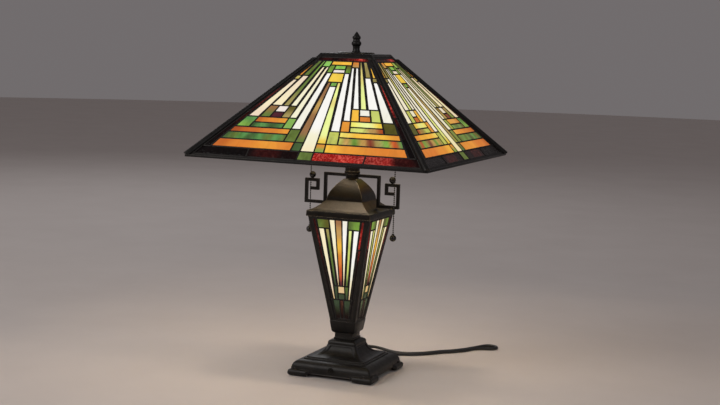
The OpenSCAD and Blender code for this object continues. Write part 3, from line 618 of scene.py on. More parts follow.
# The tie: the section it goes round, in millimetres, where it lies in degrees, and its thickness
TIE_IN, TIE_OUT = 16.1, 40.1
TIE_LOW, TIE_HIGH = 0.06, 12.5
TIE_MIDDLE = (28, 6)
TIE_FROM, TIE_TO = 12, 19
TIE_SINK, TIE_RISE = -0.45, 0.35


def coil_place(angle):
    """The cord's middle at an angle along the coil, in degrees from where it starts to count."""
    radius = COIL_OUT_R
    for low, high in TURNS_IN:
        radius -= COIL_TURN * smooth_step(low, high, angle)
    for low, high in TURNS_OUT:
        radius += COIL_TURN * smooth_step(low, high, angle)
    height = TOP_Z - (TOP_Z - LAY_Z) * smooth_step(*STEP_DOWN, angle)
    a = math.radians(angle)
    return Vector((COIL_CENTRE[0] + radius * math.cos(a), COIL_CENTRE[1] + radius * math.sin(a), height))


def curve_through(route, step):
    """Points close together on a smooth curve through a route's points."""
    result = []
    for i in range(len(route) - 1):
        a = route[max(i - 1, 0)]
        b = route[i]
        c = route[i + 1]
        d = route[min(i + 2, len(route) - 1)]
        count = max(1, round((c - b).length / step))
        for k in range(count):
            t = k / count
            result.append(b + t * (c - a) / 2 + t * t * (a - 2.5 * b + 2 * c - 0.5 * d)
                          + t ** 3 * (1.5 * b - 0.5 * a - 1.5 * c + 0.5 * d))
    return result + [route[-1]]


def make_cord():
    """The whole cord in one run from the gland to the plug."""
    route = [Vector(p) for p in CORD_ROUTE]
    route += [coil_place(a) for a in range(COIL_FROM, COIL_TO, COIL_EVERY)]
    route += [Vector(p) for p in TAIL_ROUTE]
    path = curve_through(route, CORD_STEP)
    points, faces = tube_mesh(path, CORD_D / 2, CORD_SIDES)
    cord = make_piece("mains_cord", points, faces, CORD_VINYL, "lamp")
    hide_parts("power_cord", "cord_coil", "cord_tail")


def make_tie():
    """The band that holds the coil's turns together."""
    start = (TIE_IN + 0.1, TIE_MIDDLE[1] + 0.2)
    section = [(TIE_IN, TIE_LOW), (TIE_OUT, TIE_LOW), (TIE_OUT, TIE_HIGH), (TIE_IN, TIE_HIGH)]
    outline = soften([start, *section, start], reach=2.2, steps=4)[:-1]
    count = len(outline)
    rings = []
    near_side = [(TIE_FROM, TIE_SINK), (TIE_FROM, TIE_RISE)]
    far_side = [(TIE_TO, TIE_RISE), (TIE_TO, TIE_SINK)]
    for angle, grow in near_side + far_side:
        a = math.radians(angle)
        for p in outline:
            radius = p.x + grow * (1 if p.x > TIE_MIDDLE[0] else -1)
            height = max(0.05, p.y + grow * (1 if p.y > TIE_MIDDLE[1] else -1))
            x, y = COIL_CENTRE[0] + radius * math.cos(a), COIL_CENTRE[1] + radius * math.sin(a)
            rings.append((x, y, height))
    faces = ring_faces(4, count)
    for i in range(count):
        j = (i + 1) % count
        faces.append((3 * count + i, 3 * count + j, j, i))
    make_piece("coil_tie", rings, faces, BLACK_PLASTIC, "lamp")


make_camera()
make_cord()
make_tie()


# ---- Shade glass -------------------------------------------------------------------

SHADE_HALF = 203.0
SHADE_TOP_HALF = 43.0
SHADE_LOW = 369.0
SHADE_HIGH = 535.6
SHADE_SLANT = math.hypot(SHADE_HALF - SHADE_TOP_HALF, SHADE_HIGH - SHADE_LOW)
SHADE_LEAN = math.atan2(SHADE_HIGH - SHADE_LOW, SHADE_HALF - SHADE_TOP_HALF)
SHADE_LEAD = 1.9
# Radial lead lines, from the middle out: an offset, and a share of the panel's half width
LINES = [(0, 0.063), (0, 0.151), (4, 0.24), (4.3, 0.34), (5, 0.44), (5.5, 0.54),
         (5, 0.705), (-2.5, 0.905), (-4.2, 0.988), (5, 0.58)]
MID, FLANK, THIRD, FOURTH, FIFTH, SIXTH, SEVENTH, BORDER, EDGE, EXTRA = range(10)
# Level lead lines up the slope: the rows low on the panel, the rows near its top, and the places
# where the red border is split
ROW = [5, 22.3, 39.8, 54.6, 66, 76.6, 88.3, 99.8, 113.4]
TOP = [159, 168, 171, 180, 188, 195.8, 200.8, 205, 214, 222]
SPLIT_U = 98.5
SPLIT_V = [99, 167]

# Display colours, 0 to 255. They hold the glass's painted glow as well as its colour: the darkest,
# 'night' and 'coal', are glass in painted shade, where no bulb shines through it.
TINTS = {
    "white": (243, 242, 240), "pearl": (236, 235, 224), "ivory": (238, 234, 206),
    "cream": (240, 228, 192), "sand": (232, 214, 190), "bone": (233, 224, 218),
    "lemon": (232, 240, 160), "straw": (225, 210, 130), "lime": (198, 206, 112),
    "butter": (238, 228, 118), "honey": (240, 188, 70), "gold": (236, 200, 78),
    "apricot": (226, 152, 60), "orange": (214, 130, 54), "copper": (188, 102, 46),
    "russet": (164, 82, 42), "clay": (192, 84, 46), "brick": (132, 60, 50),
    "brown": (150, 108, 76), "tan": (190, 152, 92), "maroon": (80, 38, 48),
    "khaki": (160, 146, 92), "olive": (92, 88, 40), "moss": (100, 120, 62),
    "fern": (132, 178, 88), "leaf": (92, 146, 84), "apple": (124, 164, 72),
    "bottle": (68, 96, 58), "grass": (136, 194, 96), "pond": (60, 74, 56), "reed": (92, 112, 58),
    "night": (13, 9, 10), "coal": (24, 9, 10), "wine": (60, 15, 15), "garnet": (108, 24, 22),
    "ruby": (184, 28, 22), "ember": (200, 36, 28), "blush": (186, 50, 44), "umber": (84, 52, 38),
    "biscuit": (216, 186, 138),
}

# Cells of each half: glass, inner line, outer line, low, high, tints of the brighter half and of
# the dimmer half, from the middle outwards or from the bottom up, whichever way the cell is longer
# The brighter and dimmer rows of tints are painted glow: how brightly the bulbs behind light each cell.
SHADE_CELLS = [
    ("amber", FLANK, BORDER, ROW[1], ROW[2],
     "honey apricot orange orange", "orange apricot orange copper"),
    ("green", FLANK, THIRD, ROW[2], ROW[4], "lime", "moss"),
    ("green", THIRD, BORDER, ROW[2], ROW[3], "lime tan apple tan brick khaki apple clay leaf",
     "moss leaf moss leaf bottle leaf moss bottle"),
    ("amber", THIRD, BORDER, ROW[3], ROW[4],
     "butter honey honey apricot", "apricot orange copper russet"),
    ("amber", THIRD, FOURTH, ROW[4], ROW[6], "apricot", "fern"),
    ("green", FOURTH, SEVENTH, ROW[4], ROW[5], "lime lime tan clay", "leaf bottle leaf bottle"),
    ("yellow", FOURTH, SEVENTH, ROW[5], ROW[6], "butter lemon gold", "apricot orange copper"),
    ("green", SEVENTH, BORDER, ROW[4], ROW[6], "olive", "fern leaf"),
    ("amber", FOURTH, FIFTH, ROW[6], ROW[8], "honey", "khaki olive"),
    ("brown", FIFTH, EXTRA, ROW[6], ROW[7], "orange", "maroon"),
    ("white", FIFTH, EXTRA, ROW[7], ROW[8], "pearl", "bone"),
    ("yellow", EXTRA, SEVENTH, ROW[6], ROW[8], "lime", "moss brown"),
    ("brown", MID, FLANK, ROW[1], ROW[2], "fern apricot", "bottle"),
    ("yellow", MID, FLANK, ROW[2], TOP[1], "gold lemon lemon lemon straw lemon straw",
     "moss brown brown tan brown brown"),
    ("white", FLANK, THIRD, ROW[4], TOP[4], "white", "pearl white"),
    ("white", THIRD, FOURTH, ROW[6], TOP[6], "white", "ivory ivory cream"),
    ("white", FOURTH, FIFTH, ROW[8], TOP[6], "white", "ivory cream"),
    ("yellow", FIFTH, SIXTH, ROW[8], TOP[8], "lemon lemon straw khaki", "khaki moss apple"),
    ("white", SIXTH, SEVENTH, ROW[8], TOP[3], "white", "cream sand"),
    ("white", SEVENTH, BORDER, ROW[6], TOP[2], "pearl white", "sand cream sand"),
    ("green", SEVENTH, BORDER, TOP[2], TOP[3], "khaki", "straw"),
    ("green", SIXTH, SEVENTH, TOP[3], TOP[8], "khaki", "moss"),
    ("amber", SEVENTH, BORDER, TOP[3], TOP[8], "honey", "apricot"),
    ("amber", THIRD, FIFTH, TOP[6], TOP[8], "tan orange", "grass"),
    ("green", FLANK, THIRD, TOP[4], TOP[7], "apple olive", "apple"),
    ("red", BORDER, EDGE, ROW[1], SPLIT_V[0], "night night coal wine", "night coal wine"),
    ("red", BORDER, EDGE, SPLIT_V[0], SPLIT_V[1], "garnet ruby ember ruby", "wine garnet wine"),
    ("red", BORDER, EDGE, SPLIT_V[1], TOP[7], "garnet wine", "garnet ruby garnet"),
]
# Cells on the middle line: glass, outer line, low, high, tints
SHADE_MIDDLE = [
    ("green", MID, ROW[0], ROW[1], "moss"),
    ("white", MID, ROW[1], TOP[0], "cream ivory white white white white"),
    ("green", MID, TOP[0], TOP[1], "grass"),
    ("yellow", FLANK, TOP[1], TOP[4], "gold"),
    ("white", FLANK, TOP[4], TOP[5], "bone"),
    ("green", FLANK, TOP[5], TOP[7], "grass"),
    ("amber", THIRD, TOP[7], TOP[8], "honey"),
    ("red", BORDER, TOP[8], TOP[9], "coal wine coal wine garnet ember coal"),
]
# How much of the brighter half's tints each face shows, on its left and on its right, and its tone: the
# painted glow of the bulbs through each face and side
FACE_LIGHT = [(0.0, 1.0), (0.9, 0.2), (1.0, 0.0), (0.3, 0.1)]
FACE_TONE = [(1.0, 1.0, 1.0), (0.95, 0.89, 0.72), (1.0, 0.99, 0.96), (0.95, 0.93, 0.88)]


def shade_u(line, v):
    """How far a radial lead line stands from the panel's middle, at a height up the slope."""
    half = SHADE_HALF - (SHADE_HALF - SHADE_TOP_HALF) * v / SHADE_SLANT
    return LINES[line][0] + LINES[line][1] * half


TINT_FADE = (0.12, 0.88)
LAST_PLACE = 0.9999


def tint_at(names, t):
    """The tint at a place from 0 to 1 along a row of named tints."""
    row = [light(*TINTS[n]) for n in names.split()]
    if len(row) == 1:
        return Vector(row[0])
    place = min(max(t, 0), LAST_PLACE) * (len(row) - 1)
    i = int(place)
    return Vector(row[i]).lerp(Vector(row[i + 1]), smooth_step(*TINT_FADE, place - i))


# A glass's longest faces across and up, how far in from its edge it is crowned, and how far apart
# the wisps of two faces are taken
PANE_ACROSS, PANE_UP = 5, 6
CROWN_REACH = 3.2
FACE_SHIFT = 0.37


class GlassSheets:
    """The glasses of one sort, gathered from all four faces into one piece."""

    def __init__(self, thickness, sink, crown):
        self.points = []
        self.faces = []
        self.tints = []
        self.places = []
        self.thickness = thickness
        self.sink = sink
        self.crown = crown

    def add_glass(self, corners, stand, tints, face):
        """One slightly crowned glass. Corners go round from the low inner one, in the panel's plane."""
        low_in, low_out, high_out, high_in = [Vector(c) for c in corners]
        wide = max((low_out - low_in).length, (high_out - high_in).length)
        tall = max((high_in - low_in).length, (high_out - low_out).length)
        cols = max(3, math.ceil(wide / PANE_ACROSS))
        rows = max(3, math.ceil(tall / PANE_UP))
        start = len(self.points)
        for j in range(rows + 1):
            for i in range(cols + 1):
                s, t = i / cols, j / rows
                spot = low_in.lerp(low_out, s).lerp(high_in.lerp(high_out, s), t)
                rim = min(min(s, 1 - s) * wide, min(t, 1 - t) * tall)
                bulge = self.crown * smooth_step(0, CROWN_REACH, rim)
                self.points.append(stand(spot.x, spot.y, -self.sink - self.crown * 0.5 + bulge))
                self.tints.append(tints(s if wide > tall else t))
                self.places.append((spot.x * MM, spot.y * MM, face * FACE_SHIFT))
        back = len(self.points)
        ring = [start + i for i in range(cols + 1)]
        ring += [start + j * (cols + 1) + cols for j in range(1, rows + 1)]
        ring += [start + rows * (cols + 1) + i for i in range(cols - 1, -1, -1)]
        ring += [start + j * (cols + 1) for j in range(rows - 1, 0, -1)]
        for i in ring:
            x, y = self.places[i][0] / MM, self.places[i][1] / MM
            self.points.append(stand(x, y, -self.sink - self.thickness))
            self.tints.append(self.tints[i])
            self.places.append(self.places[i])
        count = len(ring)
        flip = (low_out - low_in).cross(high_in - low_in) < 0
        faces = []
        for j in range(rows):
            for i in range(cols):
                a = start + j * (cols + 1) + i
                faces.append((a, a + 1, a + cols + 2, a + cols + 1))
        for k in range(count):
            n = (k + 1) % count
            faces.append((ring[k], back + k, back + n, ring[n]))
        faces.append(tuple(back + k for k in reversed(range(count))))
        if flip:
            faces = [tuple(reversed(f)) for f in faces]
        self.faces += faces

    def build(self, name, glass, body, node):
        """The gathered glasses as one piece, in place of its CAD node."""
        piece = make_piece(name, self.points, self.faces, GLASSES[glass], body)
        mesh = piece.data
        tint = mesh.color_attributes.new("tint", "FLOAT_COLOR", "POINT")
        tint.data.foreach_set("color", [c for t in self.tints for c in (*t, 1.0)])
        place = mesh.attributes.new("panel_place", "FLOAT_VECTOR", "POINT")
        place.data.foreach_set("vector", [c for p in self.places for c in p])
        mesh.set_sharp_from_angle(angle=math.radians(50))
        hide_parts(node)


def panel_stand(face, lean, half, low):
    """How a place on a leaning panel stands in the room: along, up the slope, and out."""
    turn = Matrix.Rotation(face * math.pi / 2, 3, "Z")
    tilt = Matrix.Rotation(lean, 3, "X")
    foot = Vector((0, -half, low))
    return lambda u, v, w: turn @ (foot + tilt @ Vector((u, v, w)))


def shade_stand(face):
    """How a place on the shade's panel stands in the room."""
    return panel_stand(face, SHADE_LEAN, SHADE_HALF, SHADE_LOW)


def mixed_tints(bright, dim, share, tone):
    """A function that gives a face's tint along a glass."""
    def tint(t):
        here = tint_at(dim, t).lerp(tint_at(bright, t), share)
        return Vector(a * b for a, b in zip(here, tone))
    return tint


def mirrored_cells(cells, place_of_line, g):
    """The cells of both halves: corners set back by g from the middles of the lead lines."""
    made = []
    for glass, inner, outer, low, high, bright, dim in cells:
        low, high = low + g, high - g
        for side in (-1, 1):
            corners = [(side * (place_of_line(inner, low) + g), low),
                       (side * (place_of_line(outer, low) - g), low),
                       (side * (place_of_line(outer, high) - g), high),
                       (side * (place_of_line(inner, high) + g), high)]
            made.append((glass, corners, bright, dim, side))
    return made


def shade_outlines():
    """Every cell of the shade's panel: glass, corners and the two rows of tints, and its side."""
    g = SHADE_LEAD / 2
    cells = mirrored_cells(SHADE_CELLS, shade_u, g)
    for glass, outer, low, high, tints in SHADE_MIDDLE:
        a = shade_u(outer, low + g) - g
        b = shade_u(outer, high - g) - g
        corners = [(-a, low + g), (a, low + g), (b, high - g), (-b, high - g)]
        cells.append((glass, corners, tints, tints, 0))
    low, high = ROW[0] + g, ROW[1] - g
    inner = shade_u(MID, low) + g
    for side in (-1, 1):
        cells.append(("red", [(side * inner, low), (side * (SPLIT_U - g), low),
                              (side * (SPLIT_U - g), high), (side * inner, high)],
                      "ember ruby ember blush", "coal coal wine wine coal", side))
        cells.append(("red", [(side * (SPLIT_U + g), low), (side * (shade_u(EDGE, low) - g), low),
                              (side * (shade_u(EDGE, high) - g), high), (side * (SPLIT_U + g), high)],
                      "blush blush blush wine wine coal", "night night night", side))
    return cells


def shade_share(face, glass, side):
    """How much of the brighter tints, the painted glow, a cell of the shade shows."""
    if side == 0:
        return 1.0
    # The red border of every face but the front is left in painted shade.
    if glass == "red" and face > 0:
        return 0.0
    return FACE_LIGHT[face][0 if side < 0 else 1]


def make_glass(part, body, outlines, stand_of, share_of, **sheet):
    """All the glasses of the shade or the column, one piece for each sort of glass."""
    sheets = {}
    for face in range(4):
        stand = stand_of(face)
        for glass, corners, bright, dim, side in outlines():
            tints = mixed_tints(bright, dim, share_of(face, glass, side), FACE_TONE[face])
            gathered = sheets.setdefault(glass, GlassSheets(**sheet))
            gathered.add_glass(corners, stand, tints, face)
    for glass, gathered in sheets.items():
        gathered.build(part + "_panes_" + glass, glass, body, part + "_glass_" + glass)


# ---- Column glass ------------------------------------------------------------------

COLUMN_LOW_HALF = 19.4
COLUMN_HIGH_HALF = 53.8
COLUMN_LOW = 71.5
COLUMN_HIGH = 264.0
COLUMN_LEAN = math.atan2(COLUMN_HIGH_HALF - COLUMN_LOW_HALF, COLUMN_HIGH - COLUMN_LOW)
COLUMN_LEAD = 1.6
# Upright lead lines, from the middle out: an offset, and how far they lean out as they rise
COL_LINES = [(0.6, 0.0285), (0.7, 0.0838), (4.9, 0.1085), (7, 0.1656), (12.4, 0.1765),
             (6.2, 0), (2.6, 0.0176)]
COL_ROW = [23, 57, 68, 81, 147, 180]
COL_TOP = 196
NARROW, FINE, BROAD, COL_BORDER, COL_EDGE, COL_SQUARE, COL_STEM = range(7)
# The tints paint the glow of the column's bulb through the glass, the darkest ones painted shade.
COLUMN_CELLS = [
    ("white", NARROW, FINE, COL_ROW[3], COL_TOP,
     "biscuit cream white white pearl", "biscuit sand cream ivory cream"),
    ("yellow", FINE, BROAD, COL_ROW[3], COL_ROW[5], "reed lime lime lemon", "pond reed moss khaki"),
    ("white", BROAD, COL_BORDER, COL_ROW[1], COL_ROW[5],
     "biscuit cream pearl white white white", "biscuit sand cream cream cream"),
    ("green", FINE, COL_BORDER, COL_ROW[5], COL_TOP, "reed apple", "olive moss"),
    ("green", COL_SQUARE, BROAD, COL_ROW[1], COL_ROW[3], "pond reed", "pond"),
    ("green", COL_STEM, COL_BORDER, COL_ROW[0], COL_ROW[1], "coal pond", "coal pond"),
    ("red", COL_BORDER, COL_EDGE, COL_ROW[0], COL_ROW[1], "night night", "night night"),
    ("red", COL_BORDER, COL_EDGE, COL_ROW[1], COL_ROW[4], "night night coal garnet", "night coal wine"),
    ("red", COL_BORDER, COL_EDGE, COL_ROW[4], COL_TOP, "ember ruby garnet", "garnet wine"),
]
# Cells on the middle line: glass, half width at the foot and at the top, low, high, tints
COLUMN_MIDDLE = [
    ("red", 3, 3.6, COL_ROW[0], COL_ROW[1], "coal umber"),
    ("green", 6.2, 6.2, COL_ROW[1], COL_ROW[2], "pond"),
    ("white", 6.2, 6.2, COL_ROW[2], COL_ROW[3], "biscuit"),
    ("amber", 2.9, 6.2, COL_ROW[3], COL_TOP, "maroon clay orange honey tan brown"),
]
# How much of the brighter tints each face shows, on its left and on its right: the painted glow of the
# column's bulb through each face and side
COLUMN_LIGHT = [(0.0, 1.0), (0.8, 0.3), (0.9, 0.1), (0.4, 0.4)]


def column_u(line, v):
    """How far a lead line of the column stands from the panel's middle."""
    return COL_LINES[line][0] + COL_LINES[line][1] * v


def column_stand(face):
    """How a place on the column's panel stands in the room."""
    return panel_stand(face, math.pi / 2 + COLUMN_LEAN, COLUMN_LOW_HALF, COLUMN_LOW)


def column_outlines():
    """Every cell of the column's panel: glass, corners, the two rows of tints, and its side."""
    g = COLUMN_LEAD / 2
    cells = mirrored_cells(COLUMN_CELLS, column_u, g)
    for glass, a, b, low, high, tints in COLUMN_MIDDLE:
        corners = [(-a + g, low + g), (a - g, low + g), (b - g, high - g), (-b + g, high - g)]
        cells.append((glass, corners, tints, tints, 0))
    return cells


def column_share(face, glass, side):
    """How much of the brighter tints a cell of the column shows."""
    return COLUMN_LIGHT[face][0 if side < 0 else 1]


# ---- Solder seams ------------------------------------------------------------------

# Seams whose ends are this close are one seam
SAME_PLACE = 1.5
SHORTEST_SEAM = 0.5
SEAM_STEP = 5
SEAM_SIDES = 6
SEAM_SINK = 0.15
# How fast the beads swell and fall as they run, and how much in width and in height
SEAM_WAVE, SEAM_SWELL, SEAM_LIFT = 0.13, 0.22, 0.35
# Where each face's and each side's waves start
FACE_WAVE, BACK_WAVE = 3.1, 9


def cell_seams(cells, grow):
    """The middle lines of the seams round every cell, each once."""
    seams = {}
    for _, corners, _, _, _ in cells:
        centre = sum((Vector(c) for c in corners), Vector((0, 0))) / 4
        out = []
        for c in corners:
            away = Vector(c) - centre
            out.append((c[0] + math.copysign(grow, away.x), c[1] + math.copysign(grow, away.y)))
        for a, b in zip(out, out[1:] + out[:1]):
            ends = [(round(end[0] / SAME_PLACE), round(end[1] / SAME_PLACE)) for end in (a, b)]
            seams.setdefault(tuple(sorted(ends)), (Vector(a), Vector(b)))
    return list(seams.values())


def seam_mesh(cells, stand, grow, half, rise, level, seed):
    """Low rounded beads of solder along the seams, uneven as they run."""
    parts = []
    out = 1 if rise > 0 else -1
    for a, b in cell_seams(cells, grow):
        run = b - a
        if run.length < SHORTEST_SEAM:
            continue
        aside = Vector((-run.y, run.x)).normalized()
        count = max(2, math.ceil(run.length / SEAM_STEP))
        points, faces = [], []
        for i in range(count + 1):
            mid = a.lerp(b, i / count)
            wobble = noise.noise(Vector((mid.x * SEAM_WAVE, mid.y * SEAM_WAVE, seed)))
            swell = 1 + SEAM_SWELL * wobble
            for k in range(SEAM_SIDES):
                angle = math.pi * k / (SEAM_SIDES - 1)
                spot = mid + aside * (half * swell * math.cos(angle))
                lift = level + rise * (1 + SEAM_LIFT * wobble) * math.sin(angle) - out * SEAM_SINK
                points.append(stand(spot.x, spot.y, lift))
        for i in range(count):
            for k in range(SEAM_SIDES - 1):
                c = i * SEAM_SIDES + k
                face = (c, c + 1, c + SEAM_SIDES + 1, c + SEAM_SIDES)
                faces.append(face if out < 0 else (face[0], face[3], face[2], face[1]))
        for end in (0, count * SEAM_SIDES):
            faces.append(tuple(end + k for k in range(SEAM_SIDES)))
        parts.append((points, faces))
    return joined(*parts)


def make_seams(name, body, outlines, stand_of, grow, half, rise, depth):
    """The solder seams on both sides of all four panels."""
    parts = []
    cells = outlines()
    for face in range(4):
        stand = stand_of(face)
        seed = face * FACE_WAVE
        parts.append(seam_mesh(cells, stand, grow, half, rise, 0, seed))
        parts.append(seam_mesh(cells, stand, grow, half, -rise, -depth, seed + BACK_WAVE))
    points, faces = joined(*parts)
    make_piece(name, points, faces, LEAD_LINES, body)


# ---- Base --------------------------------------------------------------------------

BASE_HALF = 75.5
PAD_T = 1.5
BASE_TOP = 57.5
SKIRT_LOW, SKIRT_HIGH = 6.5, 12
SKIRT_HALF, SKIRT_GAP_HALF = 70.4, 40.5
LIP = [(66.5, 9.5), (66.8, 3.0), (67.6, PAD_T + 0.1)]
POST_PLACE, POST_R, POST_TOP = 62, 11, 14.4
FLARE_LOW, FLARE_HIGH = 31.2, 49.5
PANEL_LOW, PANEL_HIGH, PANEL_MARGIN, PANEL_SINK = 32.6, 46.6, 6.5, 1.3


def base_outline():
    """The base's side from the bottom up: plinth, quarter round, two steps, hollow flare and neck."""
    side = [(BASE_HALF - 1.4, PAD_T), (BASE_HALF, PAD_T + 2), (BASE_HALF, 7.4), (BASE_HALF - 1.2, 10),
            (BASE_HALF - 4.8, 11.6)]
    side += arc((57.5, 14), (13, 12.5), range(0, 91, 6))
    side += [(55, 26.5), (55, 28.8), (51.5, 28.8), (51.5, 31)]
    side += [(49.5 - 23.5 * math.sin(math.radians(a)), 31 + 21 * (1 - math.cos(math.radians(a))))
             for a in range(0, 76, 5)]
    side += [(25.4, 49.5), (25.4, 53), (24, 55.5), (20.5, BASE_TOP)]
    return side


def base_shape(along, half, height):
    """The sunk panels of the flare, and the skirt that is cut away between the feet."""
    out, lift = 0.0, 0.0
    if FLARE_LOW < height < FLARE_HIGH:
        sunk = smooth_step(0, 1.2, half - PANEL_MARGIN - abs(along))
        sunk *= smooth_step(PANEL_LOW, PANEL_LOW + 1, height)
        sunk *= 1 - smooth_step(PANEL_HIGH, PANEL_HIGH + 1, height)
        out -= PANEL_SINK * sunk
    if height < SKIRT_HIGH:
        cut = 1 - smooth_step(SKIRT_GAP_HALF - 2.5, SKIRT_GAP_HALF + 1, abs(along))
        lift += cut * (SKIRT_HIGH - height) * (SKIRT_HIGH - SKIRT_LOW) / (SKIRT_HIGH - PAD_T)
        out -= cut * max(0, half - SKIRT_HALF)
    return out, lift


def make_base():
    """The cast base: its outer skin, its lip underneath, and the four foot posts."""
    side = densify(soften(base_outline(), reach=0.7), step=1.1)
    inner = densify([Vector(p) for p in LIP], step=2.0)
    places = side_places(corner_count=5, flat_count=80)
    points, faces = square_loft(inner + side, corner_r=2.6, places=places, shape=base_shape)
    faces.append(last_ring(points, 4 * len(places)))
    post = soften([(0.02, PAD_T), (POST_R, PAD_T), (POST_R, POST_TOP), (0.02, POST_TOP)], reach=0.6)
    corners = [(x * POST_PLACE, y * POST_PLACE) for x in (-1, 1) for y in (-1, 1)]
    posts = [lathe(post, sides=40, centre=corner) for corner in corners]
    points, faces = joined((points, faces), *posts)
    base = make_piece("stepped_base", points, faces, DARK_PATINA, "lamp")
    base.data.set_sharp_from_angle(angle=math.radians(48))
    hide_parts("base_casting")


# ---- Column cap --------------------------------------------------------------------

CAP_LIP_LOW, CAP_LIP_HIGH = 267.5, 277.3
CAP_CREASE_Z, CAP_CREASE_HALF = 293.5, 31.7
CAP_HALF, CAP_TOP_HALF, CAP_TOP = 56.2, 11.0, 328.0
FLARE_STEPS, FLARE_BEND = 18, 1.55
DOME_STEPS, DOME_BEND = 22, 1.8


def cap_outline():
    """The cap's side from the lip up: a hollow flare to the crease, and the dome over it."""
    side = [(55, 270.0), (55, CAP_LIP_LOW), (CAP_HALF + 1, CAP_LIP_LOW), (CAP_HALF + 0.4, CAP_LIP_HIGH)]
    for i in range(1, FLARE_STEPS + 1):
        q = 1 - i / FLARE_STEPS
        side.append((CAP_CREASE_HALF + (CAP_HALF - CAP_CREASE_HALF) * q,
                     CAP_LIP_HIGH + (CAP_CREASE_Z - CAP_LIP_HIGH) * (1 - q) ** FLARE_BEND))
    for i in range(1, DOME_STEPS + 1):
        s = i / DOME_STEPS
        side.append((CAP_TOP_HALF + (CAP_CREASE_HALF - CAP_TOP_HALF) * (1 - s ** DOME_BEND),
                     CAP_CREASE_Z + (CAP_TOP - CAP_CREASE_Z) * s))
    return side


def make_cap():
    """The bronze cap over the column, crisp along its four corners."""
    side = soften(cap_outline(), reach=0.5, steps=2)
    places = side_places(corner_count=4, flat_count=26)
    # Crisp corners, so that the bronze's pale edge colour paints a highlight down them.
    points, faces = square_loft(side, corner_r=0.3, places=places, shape=lambda *place: (0.0, 0.0))
    faces += [last_ring(points, 4 * len(places)), first_ring(4 * len(places))]
    cap = make_piece("domed_cap", points, faces, BRONZE_PATINA, "lamp")
    cap.data.set_sharp_from_angle(angle=math.radians(30))
    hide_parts("column_cap")


# ---- Finial ------------------------------------------------------------------------


def make_finial():
    """The turned finial: a flared foot, a lower bulb, an upper bulb and a tip."""
    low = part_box("finial")[0].z / MM
    outline = [(3.4, 0), (7, 0), (7, 1.1), (6.3, 2), (5.9, 3.4), (5.7, 5.6), (5.8, 7.6), (6, 8.8)]
    outline += arc((4.2, 14), (4, 4.4), range(-60, 61, 10))
    outline += [(5.9, 18.6), (5.7, 19.6)]
    outline += arc((3.8, 23.6), (3.1, 3.6), range(-60, 61, 10))
    outline += [(4.4, 28), (3.2, 29.8), (1.9, 31.6), (0.8, 33.1), (0.05, 33.6)]
    outline = soften([(r, z + low) for r, z in outline], reach=0.5, steps=2)
    points, faces = lathe(outline, sides=56)
    finial = make_piece("turned_finial", points, faces, DARK_PATINA, "finial")
    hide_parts("finial")


# ---- Carried pieces ----------------------------------------------------------------

SIDES = ("front", "right", "back", "left")
# Nodes that the frame's own shape serves for: names, finish, and how far their edges are rounded
CARRIED = [
    (["shade_came_" + side for side in SIDES], LEAD_LINES, 0.0),
    (["column_came_" + side for side in SIDES], LEAD_LINES, 0.0),
    (["shade_ridges", "shade_rim", "shade_top_plate"], DARK_PATINA, 0.7),
    (["column_frame", "column_cup", "base_collar"], DARK_PATINA, 0.6),
    (["scroll_arm_left", "scroll_arm_right"], DARK_PATINA, 0.5),
    (["scroll_balls", "pull_chain_left", "pull_chain_right"], CHAIN_METAL, 0.0),
    (["switch_knob"], DARK_PATINA, 0.3),
    (["neck_coupling", "cluster_cup", "shade_cap"], BRONZE_PATINA, 0.4),
    (["base_tube", "tube_fasteners", "upper_tube", "socket_arms", "shade_seat"], BRASS, 0.3),
    (["socket_left", "socket_right", "pull_link_left", "pull_link_right"], BRASS, 0.0),
    (["plug_prongs"], BRASS, 0.3),
    (["foot_pads"], FELT, 0.3),
    (["base_plate"], STEEL_PLATE, 0.4),
    (["switch_body"], BLACK_PLASTIC, 0.3),
    (["column_socket"], SOCKET_SHELL, 0.0),
    (["column_bulb", "bulb_left", "bulb_right"], BULB_GLASS, 0.0),
    (["cord_gland"], CORD_VINYL, 0.0),
    (["plug_body"], CORD_VINYL, 1.6),
]
WELD_REACH = 0.00001
BEVEL_FROM, CREASE_FROM = math.radians(40), math.radians(34)


def dress(names, material, bevel):
    """Gives carried nodes their finish, joins their facets smoothly and rounds their edges."""
    for name in names:
        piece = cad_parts[name]
        mesh = piece.data
        mesh.materials.clear()
        mesh.materials.append(material)
        if "custom_normal" in mesh.attributes:
            mesh.attributes.remove(mesh.attributes["custom_normal"])
        mesh.polygons.foreach_set("use_smooth", [True] * len(mesh.polygons))
        weld = piece.modifiers.new("joined_facets", "WELD")
        weld.merge_threshold = WELD_REACH
        if bevel:
            edge = piece.modifiers.new("rounded_edges", "BEVEL")
            edge.width = bevel * MM
            edge.segments = 2
            edge.limit_method = "ANGLE"
            edge.angle_limit = BEVEL_FROM
        split = piece.modifiers.new("crisp_edges", "EDGE_SPLIT")
        split.split_angle = CREASE_FROM
        split.use_edge_sharp = False


# ---- Studio ------------------------------------------------------------------------

FLOOR_RINGS = [(0.5, 0), (700, 0), (2500, 0), (9000, 0)]
FLOOR_SIDES = 96
# Soft square lights: name, place and aim in metres, size, power in watts, colour
SOFT_LIGHTS = [
    ("key", (-1.9, -2.2, 1.9), (0, 0, 0.25), 1.6, 36, (1.0, 0.97, 0.94)),
    ("fill", (2.4, -1.6, 1.5), (0, 0, 0.25), 1.6, 12, (0.94, 0.97, 1.0)),
    ("back", (-1.7, 2.3, 2.2), (0, 0, 0.3), 1.4, 13, (0.95, 0.97, 1.0)),
]
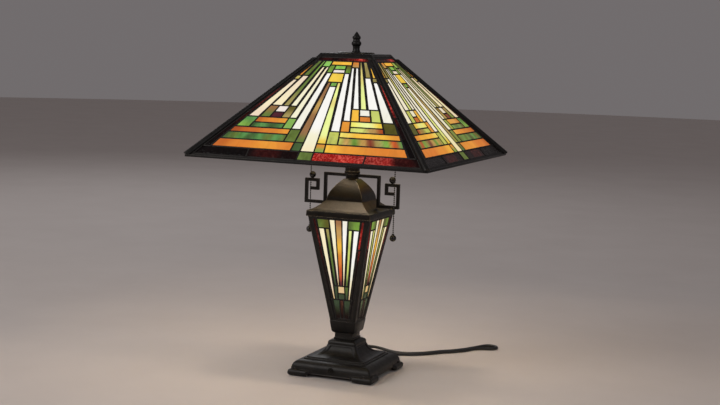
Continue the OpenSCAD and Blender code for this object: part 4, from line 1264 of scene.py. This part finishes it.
# The light that each bulb throws: name, place, power and radius
BULB_LIGHTS = [
    ("shade_bulb_light", (-0.06, 0, 0.462), 2.6, 0.02),
    ("shade_bulb_light", (0.06, 0, 0.462), 2.6, 0.02),
    ("column_bulb_light", (0, 0, 0.142), 0.25, 0.01),
]
BULB_COLOUR = (1.0, 0.82, 0.62)
ROOM_COLOUR = (0.30, 0.275, 0.28)
ROOM_STRENGTH = 0.55


def put_light(name, kind, place, power, tint):
    """One light of a kind at a place."""
    data = bpy.data.lights.new(name, kind)
    data.energy = power
    data.color = tint
    lamp = put_object(name, data)
    lamp.location = place
    return lamp


def make_studio():
    """A pale floor, soft lights round it, and the bulbs' own light."""
    points, faces = lathe(FLOOR_RINGS, FLOOR_SIDES)
    faces.append(tuple(range(FLOOR_SIDES)))
    floor = put_object("floor", new_mesh("floor", points, faces, floor_paint()))
    for name, place, aim, size, power, tint in SOFT_LIGHTS:
        lamp = put_light(name, "AREA", place, power, tint)
        lamp.data.size = size
        lamp.rotation_euler = (Vector(aim) - Vector(place)).to_track_quat("-Z", "Y").to_euler()
    for name, place, power, radius in BULB_LIGHTS:
        put_light(name, "POINT", place, power, BULB_COLOUR).data.shadow_soft_size = radius
    for name in ("bulb_left", "bulb_right", "column_bulb"):
        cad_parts[name].visible_shadow = False
    world = bpy.data.worlds.new("studio")
    world.use_nodes = True
    sky = world.node_tree.nodes["Background"].inputs
    feed(world.node_tree, sky, {"Color": colour(ROOM_COLOUR), "Strength": ROOM_STRENGTH})
    bpy.context.scene.world = world
    bpy.context.scene.view_settings.view_transform = "Standard"


make_glass("shade", "shade", shade_outlines, shade_stand, shade_share,
           thickness=2.6, sink=0.2, crown=0.4)
make_glass("column", "lamp", column_outlines, column_stand, column_share,
           thickness=2.0, sink=0.15, crown=0.3)
make_seams("shade_seams", "shade", shade_outlines, shade_stand,
           grow=SHADE_LEAD / 2, half=1.35, rise=0.5, depth=4.0)
make_seams("column_seams", "lamp", column_outlines, column_stand,
           grow=COLUMN_LEAD / 2, half=1.25, rise=0.45, depth=3.0)
make_base()
make_cap()
make_finial()
for names, material, bevel in CARRIED:
    dress(names, material, bevel)
make_studio()
